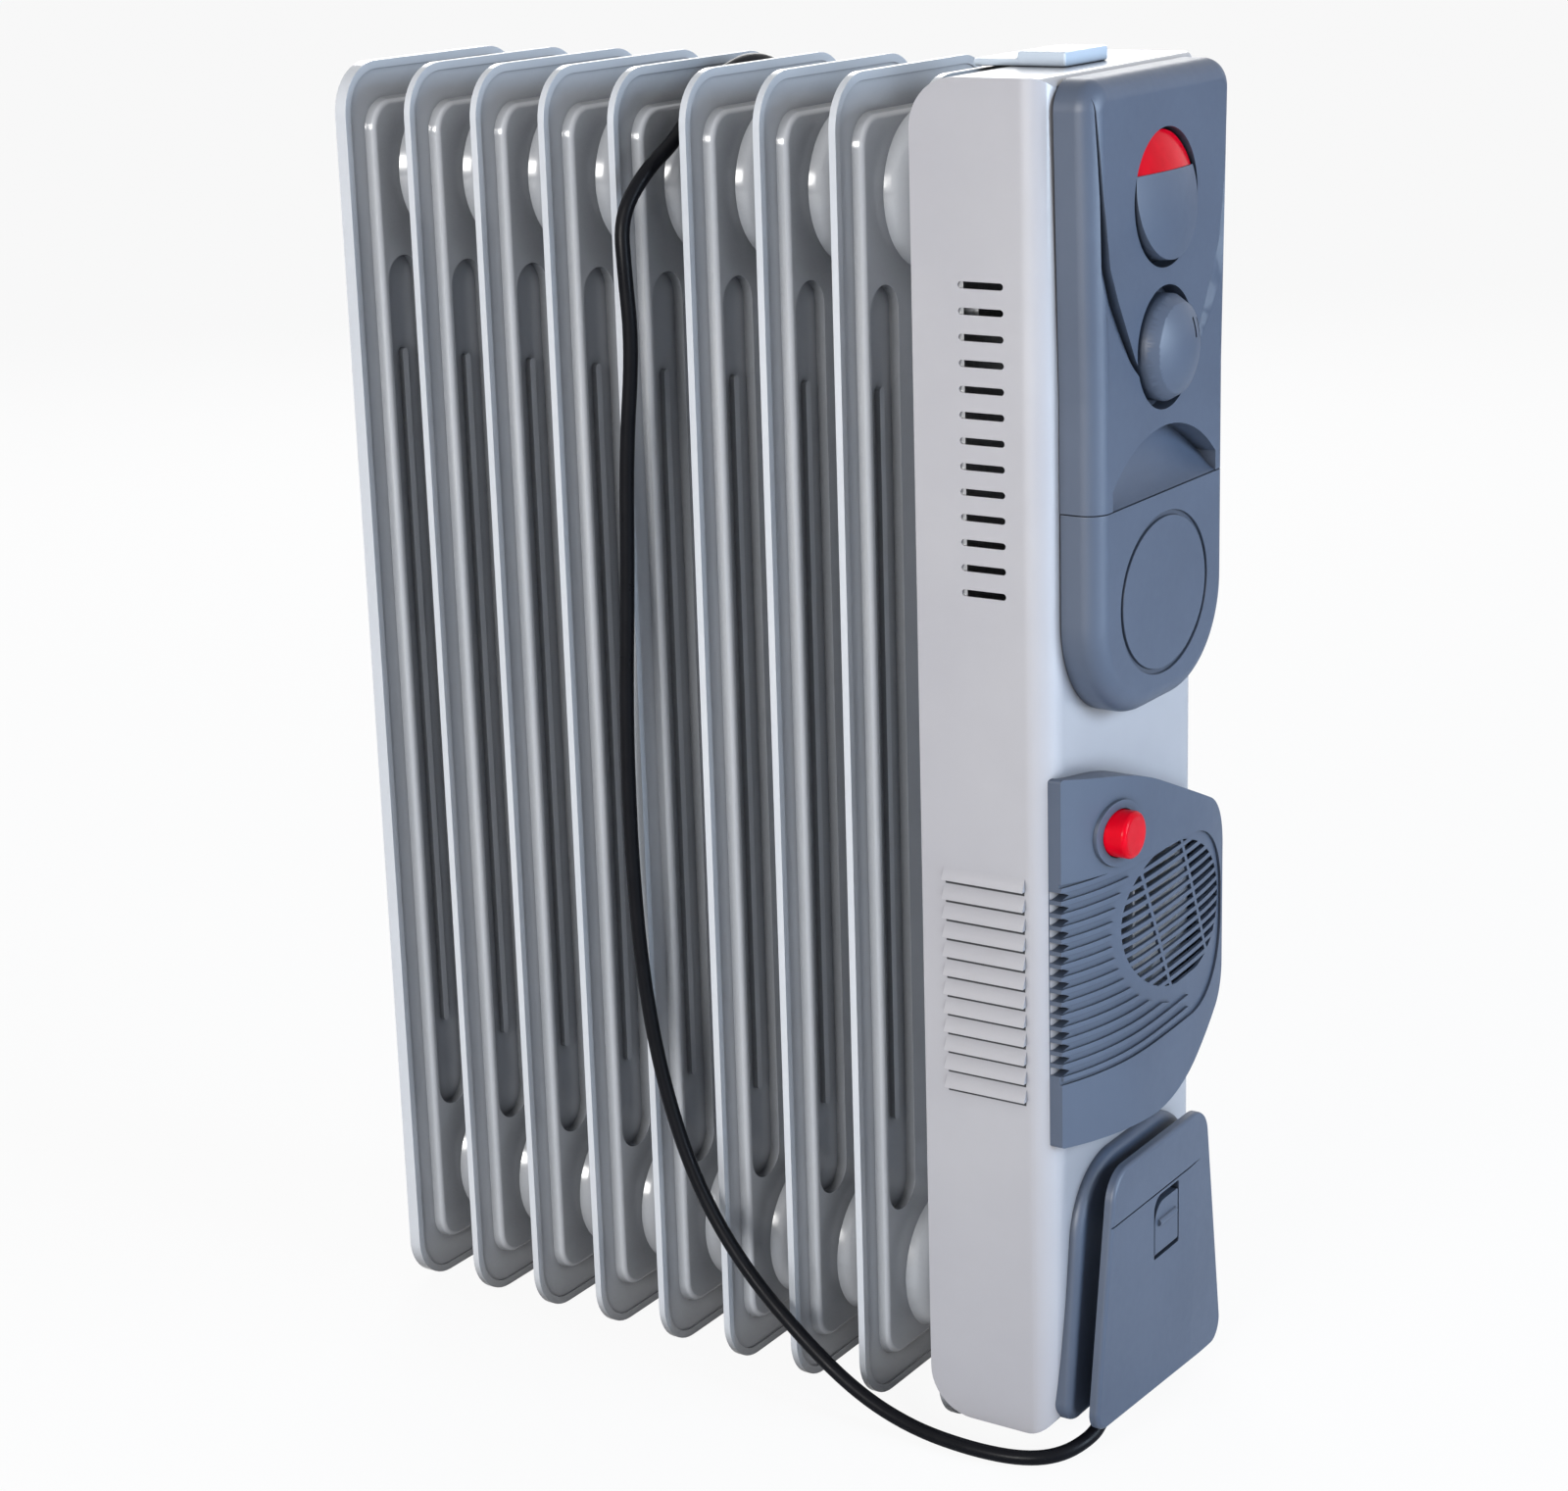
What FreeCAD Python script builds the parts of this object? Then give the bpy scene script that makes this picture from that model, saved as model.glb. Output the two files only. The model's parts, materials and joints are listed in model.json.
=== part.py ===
"""Oil filled radiator heater: a row of pressed steel fins on two header tubes, with a
control housing at one end that also holds a small fan heater and a cord spool.

Frame: +Z up, +X along the row of fins towards the control housing, +Y across it.
The origin is at the bottom centre of the heater, on the floor.  Millimetres.
"""
import FreeCAD, Part
import math
import os

V = FreeCAD.Vector
os.makedirs("parts", exist_ok=True)

# ---------------------------------------------------------------- driving dimensions
# radiator
FIN_COUNT = 8            # open fins, next to the end section inside the housing
FIN_W = 125.0
FIN_R = 22.0             # corner radius of a fin
FIN_PITCH = 36.0
SHEET = 0.8              # one pressed sheet, two make a fin
RIM_BEAD = 1.6           # how far the folded rim stands out on each side
RIM_W = 3.5              # width of the folded rim
END_LIP = 3.5            # depth of the folded lip on the outermost fin
SIDE_BAND = 13.0         # flat flange along the sides of a fin
TOP_BAND = 16.0          # flat flange along its top and bottom
PANEL_RISE = 4.5         # how far the oil channels stand out from the sheet
PANEL_ROUND = 2.6        # their rounded edge
PANEL_DRAFT = 1.5        # slope of their sides
PANEL_R = 14.0
RECESS_W = 22.0          # long recess pressed in on each side
RECESS_SIDE = 4.5        # from a recess to the side of the oil channels
RECESS_END_GAP = 3.0     # from a header boss to the end of a recess
RIB_W = 3.6              # rib along the middle of a recess
RIB_H = 2.6
RIB_SHORT = 42.0         # how much sooner the rib ends than its recess
BOSS_R = 33.0            # header boss where it leaves the fin
BOSS_NECK_R = 20.0       # and where it meets the next fin's boss
BOSS_Z = 50.0            # header height above the bottom, and below the top
BORE_R = 15.0            # oil passage through the headers

# control housing
HOUSING_D = 60.5
HOUSING_SIDE = 4.25      # room on each side of the end section
HOUSING_ABOVE = 1.0      # how much higher it is than the fins
HOUSING_Z0 = 12.0
HOUSING_T = 1.0          # sheet of the housing
HOUSING_EDGE_R = 12.0    # upright front edges
HOUSING_REAR_R = 20.0    # upper and lower rear corners, seen from the side
HOUSING_TOP_R = 7.0
HOUSING_LOW_R = 14.0
FIN_TO_HOUSING = 37.9    # last open fin to the housing's rear rim
END_INSET = 2.6          # how far inside that rim the end section sits
SLOT_COUNT = 13
SLOT_L = 20.2
SLOT_H = 2.8
SLOT_PITCH = 10.27
SLOT_DROP = 79.5         # from the top of the housing to the first slot
SLOT_X = 31.1            # centre of the slots, from the rear rim
LOUVRE_COUNT = 12
LOUVRE_L = 38.0
LOUVRE_H = 5.4
LOUVRE_PROUD = 2.6
LOUVRE_T = 0.6           # sheet of a pressed hood
LOUVRE_PITCH = 8.34
LOUVRE_DROP = 42.9       # from the top of the fan panel to the first louvre
LOUVRE_X = 29.5

# mouldings on the front of the housing
PLASTIC_T = 2.5
PANEL_D = 17.5           # how far the control panel stands out
PANEL_SIDE = 9.25        # from the housing's side to the panel's
PANEL_TOP_SIDE = 5.25    # and at the panel's top
PANEL_WAIST = 14.0       # how far the narrow part starts below the knob's centre
PANEL_RIM = 1.0          # from the panel's top to the housing's
PANEL_LOW_R = 44.0
PANEL_TOP_R = 12.0
PANEL_EDGE_R = 9.0
SEAM_GAP = 0.4           # between the control panel and the badge cover
BADGE_LOW_GAP = 13.5     # from the cover's lower end to the badge
BADGE_TOP_GAP = 8.5      # from the badge to the seam
BADGE_W = 78.0
BADGE_H = 67.0
BADGE_GROOVE = 2.0
BADGE_GROOVE_D = 1.4
POCKET_W = 92.0          # finger scoop above the seam
POCKET_H = 27.0
POCKET_D = 12.0
# depth of the scoop's curved floor at heights above the seam
POCKET_RAMP = [(0.0, 0.0), (4.0, 5.0), (10.0, 9.2), (16.0, 11.3)]
# each side's crease round the raised middle, from the top down into the knob's seat:
# distance in from the panel's top corner, height above the knob's centre, depth below
# the face, width
CREASE = [(4.0, 103.5, 3.4, 0.9), (8.5, 65.5, 2.2, 3.2), (13.6, 37.5, 3.8, 8.0),
          (20.5, 23.5, 4.4, 9.5), (27.5, 11.5, 3.9, 7.5), (34.5, -0.5, 2.9, 4.0),
          (40.5, -8.5, 2.7, 1.4)]

ROCKER_R = 27.0
ROCKER_TOP_GAP = 23.0    # from the rocker to the panel's top
ROCKER_GAP = 0.6
ROCKER_PROUD = 4.5
ROCKER_DOME = 3.9        # how much higher its middle is than its rim
ROCKER_SPLIT = 9.0       # height of the lens's lower edge above the centre
ROCKER_TILT = 7.0        # at rest, its lens end is pressed in
LENS_SUNK = 0.8          # how much lower the lens is than the pad
LENS_GAP = 0.9           # how much smaller its radius is
KNOB_R = 21.5
KNOB_TOP_GAP = 11.0      # from the knob to the rocker
KNOB_LOW_GAP = 10.0      # from the finger scoop to the knob
KNOB_SKIRT = 1.0         # height of its upright rim above the panel
KNOB_FACE_R = 18.5       # edge of its domed face
KNOB_FACE_H = 6.0        # and the height of that edge
KNOB_PROUD = 11.0
KNOB_HOLLOW = 3.0        # how far it is hollow above its upright rim
KNOB_MARK_W = 1.6        # two marks cut in its face
KNOB_MARK_L = 8.0
KNOB_MARK_D = 0.9
KNOB_MARKS = [(6.5, 7.5), (13.0, 6.5)]
KNOB_DISH_D = 8.0        # round seat sunk in the panel under the knob
KNOB_DISH_GAP = 3.4
KNOB_LIFT = 0.6          # gap below the knob
SHAFT_R = 3.0
SHAFT_CLEARANCE = 0.05

FAN_LOW_GAP = 15.0       # from the cord spool to the fan panel
FAN_TOP_GAP = 18.5       # from the fan panel to the badge cover
FAN_LEFT_SIDE = 3.75     # from the housing's left side to the fan panel's upright edge
FAN_RIGHT_SIDE = 2.75
# how far it stands out, at distances from its left edge and at its right edge
FAN_RISE = [(0.0, 2.0), (20.0, 10.6), (40.0, 15.2), (64.0, 16.8), (84.0, 17.0), (109.0, 16.2)]
FAN_RIGHT_D = 13.5
FAN_BELLY = 33.0         # height of the lower right corner
FAN_SHOULDER = 42.5      # drop of the upper right corner
FAN_BROW_Y = -20.0       # bend in its upper edge
FAN_BROW = 6.5           # and its drop
GRILLE_Y = 14.5
GRILLE_RISE = 82.0       # from the fan panel's lower end to the grille's centre
GRILLE_SIDE = 2.0        # from the panel's right side to the oval
GRILLE_B = 33.5          # half height of the oval
GRILLE_TILT = -13.0
GRILLE_SLOT = 2.7
GRILLE_BAR = 2.0
SLOT_TILT = 3.0          # of the slots and ribs
BAR_LEAN = 24.0          # of the two bars across the slots
RELIEF = 1.1             # depth of the sunk field round the grille
RELIEF_R = 35.0          # its right corners
RIB_COUNT = 16
RIB_PITCH = 5.45
RIB_LINE = 2.1           # width of a rib on that field
RIB_RISE = 30.8          # from the panel's lower end to the lowest rib, at the left edge
NOTCH_W = 3.6            # notches between the ribs at that edge
NOTCH_L = 4.5
GRILLE_MARGIN = 5.0      # plain band between the ribs and the slots
BUTTON_SIDE = 29.0       # from the fan panel's left edge to the button
BUTTON_RISE = 49.0       # from the grille's centre to the button
BUTTON_DROP = 28.5       # from the fan panel's top to the button
BUTTON_R = 10.0
BUTTON_EDGE_R = 2.2
BUTTON_PROUD = 8.5
BUTTON_GAP = 0.4
BUTTON_TRAVEL = 3.0
BEZEL_R = 14.0
BEZEL_H = 1.6

# cord spool
SPOOL_BASE_T = 5.2
SPOOL_GAP = 8.0
COVER_T = 4.4
COVER_EDGE_R = 2.0
COVER_SEAM_DROP = 23.0   # from the cover's top to the shallow seam across it
COVER_SEAM = 0.7
COVER_FOLD_Y = 26.0      # right of it the cover slopes back
COVER_FOLD = 3.5         # degrees
COVER_LEFT_RISE = 4.0    # from the housing's bottom to the cover's left corner
COVER_RIGHT_RISE = -2.0
COVER_DROP = 1.0         # from the base's top to the cover's
COVER_IN = 1.0           # how much narrower it is on each side than the base
COVER_TAPER = 18.0
COVER_R = 15.0
COVER_LOW_R = 9.0
BASE_SIDE = 3.75         # arched base behind the spool, from the housing's side
BASE_TAPER = 14.0        # how much narrower it is on each side at its top
BASE_RISE = 5.0          # from the housing's bottom
BASE_H = 113.0
BASE_R = 34.0
BASE_EDGE_R = 4.0
CORE_W = 56.0
CORE_RISE = 24.0         # from the housing's bottom to the spool's core
CORE_H = 64.0
CORE_R = 16.0
LATCH_Y = 3.0
LATCH_W = 22.0
LATCH_DROP = 23.5        # from the core's top to the latch's lower end
LATCH_H = 24.5
LATCH_GAP = 0.8
LATCH_MOUTH = 3.5        # finger gap above the latch
LATCH_MOUTH_R = 7.0      # its upper left corner
LATCH_TIP_R = 9.0        # the latch's upper left corner
LATCH_R = 1.0            # the other corners
LATCH_ROOM = 5.0         # depth behind the latch, for its travel
LATCH_PIN_R = 1.0

# top cap
CAP_X = 22.0
CAP_L = 42.0
CAP_W = 36.0
CAP_STEP = 3.0
CAP_H = 6.0
CAP_BLOCK_L = 22.0

# cord
CORD_D = 6.4
GLAND_Y = -12.4          # where the strain relief leaves the spool's core
GLAND_Z = 27.0
GLAND_WAY = V(0, -0.906, -0.423)
SLEEVE_GRIP = 8.0        # length held in the core
SLEEVE_L = 27.8          # tapered length outside it
SLEEVE_R = 3.9
SLEEVE_TIP_R = 3.6
COIL_TURNS = 2.5
COIL_MEAN_R = 36.0
COIL_AIR = 0.2
TIE_T = 1.0
TIE_W = 8.0
TAIL_RUNS = 3
PLUG_R = 18.5
PLUG_NECK_R = 7.0
PLUG_NECK_L = 12.0
PLUG_GRIP_L = 16.0
PLUG_BODY_L = 14.0
PIN_R = 2.4
PIN_L = 19.0
PIN_ROOT = 8.0
PIN_SPACING = 19.0

# heating elements in the lower header
PORT_L = 4.0             # threaded neck on the end section
PORT_R = 17.0
PORT_BORE_R = 14.0
FLANGE_HEX = 40.0        # across the flats of the element's plug
FLANGE_T = 9.0
GASKET_T = 1.5
ELEMENT_R = 3.2
ELEMENT_BEND_R = 5.2
ELEMENT_TAIL = 7.0       # bare ends behind the plug
ELEMENT_END_GAP = 14.0

# inside the housing
CLEAR = 0.5              # around what passes through a hole
SHIELD_X = 22.0          # heat shield, from the rear rim
SHIELD_T = 1.0
SHIELD_FLANGE = 9.0
SHIELD_MARGIN = 22.0     # above and below it, to the housing's ends
STANDOFF_R = 4.0
STANDOFF_Z = 90.0
SCREW_R = 2.0
SCREW_HEAD_R = 4.0
SCREW_HEAD_T = 2.4
SWITCH_R = 17.0          # body of the rocker switch
SWITCH_D = 26.0
ROCKER_DEPTH = 8.0       # how deep the rocker reaches behind the panel's face
ROCKER_TILT_GAP = 1.0    # extra room around it for its tilt
PIVOT_R = 1.5
PIVOT_BEHIND = 3.5       # from the rocker's back to its pin
THERMOSTAT_D = 16.0
THERMOSTAT_R = 15.0
KNOB_WALL = 2.0
SHROUD_R = 33.0
SHROUD_T = 2.0
BUTTON_SWITCH_R = 8.0
BUTTON_STEM_R = 3.0
MOTOR_R = 14.0
MOTOR_L = 15.0
MOTOR_SHAFT_R = 1.2
IMPELLER_R = 28.0
IMPELLER_L = 9.0
IMPELLER_HUB_R = 8.0
BLADES = 7
PTC_D = 7.0
PTC_HALF = 21.0
PTC_TAB = 15.0
TILT_SWITCH_W = 18.0
TILT_SWITCH_D = 20.0
TILT_SWITCH_H = 26.0
TILT_SWITCH_SIDE = 18.75 # from the housing's side
TILT_SWITCH_RISE = 10.0  # above the lower header

# ---------------------------------------------------------------- places up the front
BASE_LOW_Z = HOUSING_Z0 + BASE_RISE
BASE_TOP_Z = BASE_LOW_Z + BASE_H
COVER_TOP_Z = BASE_TOP_Z - COVER_DROP
COVER_SEAM_Z = COVER_TOP_Z - COVER_SEAM_DROP
CORE_LOW_Z = HOUSING_Z0 + CORE_RISE
CORE_TOP_Z = CORE_LOW_Z + CORE_H
LATCH_LOW_Z = CORE_TOP_Z - LATCH_DROP
FAN_LOW_Z = BASE_TOP_Z + FAN_LOW_GAP
GRILLE_Z = FAN_LOW_Z + GRILLE_RISE
RIB_LOW_Z = FAN_LOW_Z + RIB_RISE
BUTTON_Z = GRILLE_Z + BUTTON_RISE
FAN_TOP_Z = BUTTON_Z + BUTTON_DROP
LOUVRE_TOP_Z = FAN_TOP_Z - LOUVRE_DROP
PANEL_LOW_Z = FAN_TOP_Z + FAN_TOP_GAP
BADGE_Z = PANEL_LOW_Z + BADGE_LOW_GAP + BADGE_H / 2
SEAM_Z = BADGE_Z + BADGE_H / 2 + BADGE_TOP_GAP
KNOB_Z = SEAM_Z + POCKET_H + KNOB_LOW_GAP + KNOB_R
ROCKER_Z = KNOB_Z + KNOB_R + KNOB_TOP_GAP + ROCKER_R
PANEL_TOP_Z = ROCKER_Z + ROCKER_R + ROCKER_TOP_GAP
PANEL_WAIST_Z = KNOB_Z - PANEL_WAIST
HOUSING_TOP = PANEL_TOP_Z + PANEL_RIM
SLOT_TOP_Z = HOUSING_TOP - SLOT_DROP
FIN_H = HOUSING_TOP - HOUSING_ABOVE
BOSS_TOP_Z = FIN_H - BOSS_Z

# ---------------------------------------------------------------- places across it
HOUSING_W = FIN_W + 2 * HOUSING_SIDE
PANEL_W = HOUSING_W - 2 * PANEL_SIDE
PANEL_TOP_W = HOUSING_W - 2 * PANEL_TOP_SIDE
FAN_LEFT = HOUSING_W / 2 - FAN_LEFT_SIDE
FAN_RIGHT = HOUSING_W / 2 - FAN_RIGHT_SIDE
GRILLE_A = FAN_RIGHT - GRILLE_Y - GRILLE_SIDE   # half width of the oval
BUTTON_Y = BUTTON_SIDE - FAN_LEFT
BASE_LOW_W = HOUSING_W - 2 * BASE_SIDE
BASE_TOP_W = BASE_LOW_W - 2 * BASE_TAPER
COVER_LOW_W = BASE_LOW_W - 2 * COVER_IN
COVER_TOP_W = COVER_LOW_W - 2 * COVER_TAPER
RECESS_Y = FIN_W / 2 - SIDE_BAND - RECESS_SIDE - RECESS_W / 2
STANDOFF_Y = (FIN_W - RIM_W - SIDE_BAND) / 2    # on the end section's flat flange

# ---------------------------------------------------------------- places along X
FIN_HALF = SHEET + PANEL_RISE
HEAD_FRONT = HOUSING_D + PANEL_D + KNOB_PROUD
FIN_ROW = FIN_TO_HOUSING + (FIN_COUNT - 1) * FIN_PITCH
HEAD_BACK = -(FIN_ROW + max(FIN_HALF, SHEET + END_LIP))
X_REAR = -(HEAD_FRONT + HEAD_BACK) / 2          # the housing's rear rim
X_FRONT = X_REAR + HOUSING_D                    # its front face
X_PANEL = X_FRONT + PANEL_D                     # face of the control panel
X_FIN = [X_REAR - FIN_TO_HOUSING - (FIN_COUNT - 1 - i) * FIN_PITCH for i in range(FIN_COUNT)]
X_END = X_REAR + END_INSET                      # end section
FAN_D = max(depth for _, depth in FAN_RISE)     # how far the fan panel stands out
X_PORT = X_END + FIN_HALF + PORT_L              # end of the threaded necks
X_ROCKER = X_PANEL - ROCKER_DEPTH               # back of the rocker
X_PIVOT = X_ROCKER - PIVOT_BEHIND
X_SHIELD = X_REAR + SHIELD_X + SHIELD_T         # front of the heat shield
X_BASE = X_FRONT + SPOOL_BASE_T
X_COVER = X_BASE + SPOOL_GAP
X_GLAND = X_BASE + SPOOL_GAP / 2
EPS = 0.01


# ---------------------------------------------------------------- helpers
def save(name, shape):
    """Write one node, as clean single or multiple solids."""
    shape = shape.removeSplitter() if len(shape.Solids) == 1 else shape
    if not shape.isValid() or not shape.Solids:
        raise ValueError("bad solid in " + name)
    shape.exportStep("parts/%s.step" % name)
    box = shape.BoundBox
    print("%-22s %d solid(s)  x %.1f..%.1f  y %.1f..%.1f  z %.1f..%.1f" % (
        name, len(shape.Solids), box.XMin, box.XMax, box.YMin, box.YMax, box.ZMin, box.ZMax))
    return shape


def on_x(u, v, x=0.0):
    """Sketch plane across X: u is Y and v is Z."""
    return V(x, u, v)


def on_y(u, v, y=0.0):
    """Sketch plane across Y: u is X and v is Z."""
    return V(u, y, v)


def on_z(u, v, z=0.0):
    """Sketch plane across Z: u is X and v is Y."""
    return V(u, v, z)


def corner_arc(before, corner, after, radius):
    """Start, middle and end of the arc that rounds one corner of a polygon."""
    a = (before - corner).normalize()
    b = (after - corner).normalize()
    half = a.getAngle(b) / 2
    setback = radius / math.tan(half)
    inward = (a + b).normalize()
    centre = corner + inward * (radius / math.sin(half))
    return corner + a * setback, centre - inward * radius, corner + b * setback


def rounded_face(corners, plane, at=0.0):
    """Face of a polygon given as (u, v, radius) corners, in the sketch plane."""
    points = [plane(u, v, at) for u, v, _ in corners]
    count = len(points)
    arcs = []
    for i, (_, _, radius) in enumerate(corners):
        if radius > EPS:
            arcs.append(corner_arc(points[i - 1], V(points[i]), points[(i + 1) % count], radius))
        else:
            arcs.append((points[i], None, points[i]))
    edges = []
    for i, (start, middle, end) in enumerate(arcs):
        if middle is not None:
            edges.append(Part.Arc(start, middle, end).toShape())
        following = arcs[(i + 1) % count][0]
        if end.distanceToPoint(following) > EPS:
            edges.append(Part.LineSegment(end, following).toShape())
    return Part.Face(Part.Wire(edges))


def rect_corners(u0, u1, v0, v1, radius):
    return [(u0, v0, radius), (u1, v0, radius), (u1, v1, radius), (u0, v1, radius)]


def plate(y0, y1, z0, z1, radius, x0, x1):
    """Rounded rectangle in the YZ plane, from x0 to x1."""
    face = rounded_face(rect_corners(y0, y1, z0, z1, radius), on_x, x0)
    return face.extrude(V(x1 - x0, 0, 0))


def prism_x(corners, x0, x1):
    return rounded_face(corners, on_x, x0).extrude(V(x1 - x0, 0, 0))


def box(x0, x1, y0, y1, z0, z1):
    return Part.makeBox(x1 - x0, y1 - y0, z1 - z0, V(x0, y0, z0))


def rod(x0, x1, y, z, radius):
    """Cylinder along X."""
    return Part.makeCylinder(radius, x1 - x0, V(x0, y, z), V(1, 0, 0))


def rod_y(y0, y1, x, z, radius):
    return Part.makeCylinder(radius, y1 - y0, V(x, y0, z), V(0, 1, 0))


def tube(x0, x1, y, z, outer, inner):
    return rod(x0, x1, y, z, outer).cut(rod(x0 - 1, x1 + 1, y, z, inner))


def fuse(shapes):
    shapes = list(shapes)
    whole = shapes[0]
    if len(shapes) > 1:
        whole = whole.multiFuse(shapes[1:])
    return whole


def cut_all(shape, tools):
    tools = list(tools)
    return shape.cut(Part.makeCompound(tools)) if tools else shape


def spin(profile, centre, axis=V(1, 0, 0)):
    """Turn a closed face about an axis through centre."""
    return profile.revolve(centre, axis, 360)


# ---------------------------------------------------------------- fins
def drafted_panel(x, side, rise, inset):
    """Raised block on one side of a fin, its outline inset from the fin's edge."""
    half = FIN_W / 2 - SIDE_BAND - inset
    low = TOP_BAND + inset
    high = FIN_H - TOP_BAND - inset
    foot = rounded_face(rect_corners(-half, half, low, high, PANEL_R), on_x, x)
    top = rounded_face(rect_corners(-half + PANEL_DRAFT, half - PANEL_DRAFT, low + PANEL_DRAFT,
                                    high - PANEL_DRAFT, PANEL_R - PANEL_DRAFT), on_x, x + side * rise)
    block = Part.makeLoft([foot.OuterWire, top.OuterWire], True, True)
    brow = [e for e in block.Edges if min(side * (v.X - x) for v in e.Vertexes) > rise - EPS]
    return block.makeFillet(PANEL_ROUND - inset, brow)


def recess(x, side, sign, grow):
    """Tool for one long recess, from the sheet's face outwards."""
    half = RECESS_W / 2 + grow
    low = BOSS_Z + BOSS_R + RECESS_END_GAP - grow
    high = FIN_H - low
    centre = sign * RECESS_Y
    face = rounded_face(rect_corners(centre - half, centre + half, low, high, half - EPS), on_x, x)
    return face.extrude(V(side * (PANEL_RISE + 1), 0, 0))


def rib(x, side, sign):
    low = BOSS_Z + BOSS_R + RECESS_END_GAP + RIB_SHORT
    high = FIN_H - low
    centre = sign * RECESS_Y
    face = rounded_face(rect_corners(centre - RIB_W / 2, centre + RIB_W / 2, low, high,
                                     RIB_W / 2 - EPS), on_x, x)
    return face.extrude(V(side * RIB_H, 0, 0))


def boss(x, side, z, reach, shrink):
    """Domed header boss from the sheet's face to the next fin's boss."""
    root = BOSS_R - shrink
    neck = BOSS_NECK_R - shrink
    middle = V(x + side * (FIN_HALF + (reach - FIN_HALF) * 0.62), 0, z + neck + (root - neck) * 0.62)
    start = V(x + side * FIN_HALF, 0, z + root)
    end = V(x + side * reach, 0, z + neck)
    edges = [Part.LineSegment(V(x, 0, z), V(x, 0, z + root)).toShape(),
             Part.LineSegment(V(x, 0, z + root), start).toShape(),
             Part.Arc(start, middle, end).toShape(),
             Part.LineSegment(end, V(x + side * reach, 0, z)).toShape(),
             Part.LineSegment(V(x + side * reach, 0, z), V(x, 0, z)).toShape()]
    return spin(Part.Face(Part.Wire(edges)), V(x, 0, z))


def half_fin(x, side, reach, closed):
    """One pressed sheet of a fin, with its channels hollow behind it."""
    face = x + side * SHEET
    block = drafted_panel(face - side * SHEET, side, PANEL_RISE + SHEET, 0)
    block = cut_all(block, [recess(face, side, sign, 0) for sign in (-1, 1)])
    block = fuse([block] + [rib(face - side * EPS, side, sign) for sign in (-1, 1)])
    hollow = drafted_panel(x, side, PANEL_RISE, SHEET)
    hollow = cut_all(hollow, [recess(x - side, side, sign, SHEET) for sign in (-1, 1)])
    if not closed:
        block = fuse([block] + [boss(x, side, z, reach, 0) for z in (BOSS_Z, BOSS_TOP_Z)])
        hollow = fuse([hollow] + [boss(x, side, z, reach, SHEET) for z in (BOSS_Z, BOSS_TOP_Z)])
        hollow = fuse([hollow] + [rod(min(x, x + side * (reach + 1)), max(x, x + side * (reach + 1)),
                                      0, z, BORE_R) for z in (BOSS_Z, BOSS_TOP_Z)])
    return block, hollow


def make_fin(x, reach_back, reach_front):
    """A whole fin.  A reach of zero leaves that side's headers closed."""
    flange = plate(-FIN_W / 2, FIN_W / 2, 0, FIN_H, FIN_R, x - SHEET, x + SHEET)
    rim = plate(-FIN_W / 2, FIN_W / 2, 0, FIN_H, FIN_R, x - RIM_BEAD, x + RIM_BEAD)
    rim = rim.cut(plate(-FIN_W / 2 + RIM_W, FIN_W / 2 - RIM_W, RIM_W, FIN_H - RIM_W, FIN_R - RIM_W,
                        x - RIM_BEAD - 1, x + RIM_BEAD + 1))
    back, back_hollow = half_fin(x, -1, reach_back, reach_back == 0)
    front, front_hollow = half_fin(x, 1, reach_front, reach_front == 0)
    solid = fuse([flange, rim, back, front])
    return solid.cut(fuse([back_hollow, front_hollow]))


def outer_lip(x):
    """Folded lip that closes the outermost fin's rim."""
    x0 = x - SHEET - END_LIP
    lip = plate(-FIN_W / 2, FIN_W / 2, 0, FIN_H, FIN_R, x0, x - RIM_BEAD / 2)
    return lip.cut(plate(-FIN_W / 2 + RIM_BEAD, FIN_W / 2 - RIM_BEAD, RIM_BEAD, FIN_H - RIM_BEAD,
                         FIN_R - RIM_BEAD, x0 - 1, x))


def make_fins():
    half = FIN_PITCH / 2
    last = X_END - X_FIN[-1] - half
    for i, x in enumerate(X_FIN):
        fin = make_fin(x, half if i else 0, half)
        if i == 0:
            fin = fin.fuse(outer_lip(x))
        save("fin_%d" % (i + 1), fin)
    end = make_fin(X_END, last, 0)
    ports = [rod(X_END, X_END + FIN_HALF + PORT_L, 0, z, PORT_R) for z in (BOSS_Z, BOSS_TOP_Z)]
    holes = [rod(X_END, X_END + FIN_HALF + PORT_L + 1, 0, z, PORT_BORE_R) for z in (BOSS_Z, BOSS_TOP_Z)]
    save("fin_end", cut_all(fuse([end] + ports), holes))


# ---------------------------------------------------------------- heating elements


def hexagon(x0, x1, z, flats):
    radius = flats / math.sqrt(3)
    corners = []
    for i in range(6):
        angle = math.radians(60 * i + 30)
        corners.append((radius * math.cos(angle), z + radius * math.sin(angle), 0))
    return prism_x(corners, x0, x1)


def hairpin(x0, x1, z):
    """Tubular element: out along one leg, round a bend and back along the other."""
    a = ELEMENT_BEND_R
    wire = Part.Wire([Part.LineSegment(V(x1, -a, z), V(x0, -a, z)).toShape(),
                      Part.Arc(V(x0, -a, z), V(x0 - a, 0, z), V(x0, a, z)).toShape(),
                      Part.LineSegment(V(x0, a, z), V(x1, a, z)).toShape()])
    ring = Part.Wire([Part.Circle(V(x1, -a, z), V(1, 0, 0), ELEMENT_R).toShape()])
    return wire.makePipeShell([ring], True, False)


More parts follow.
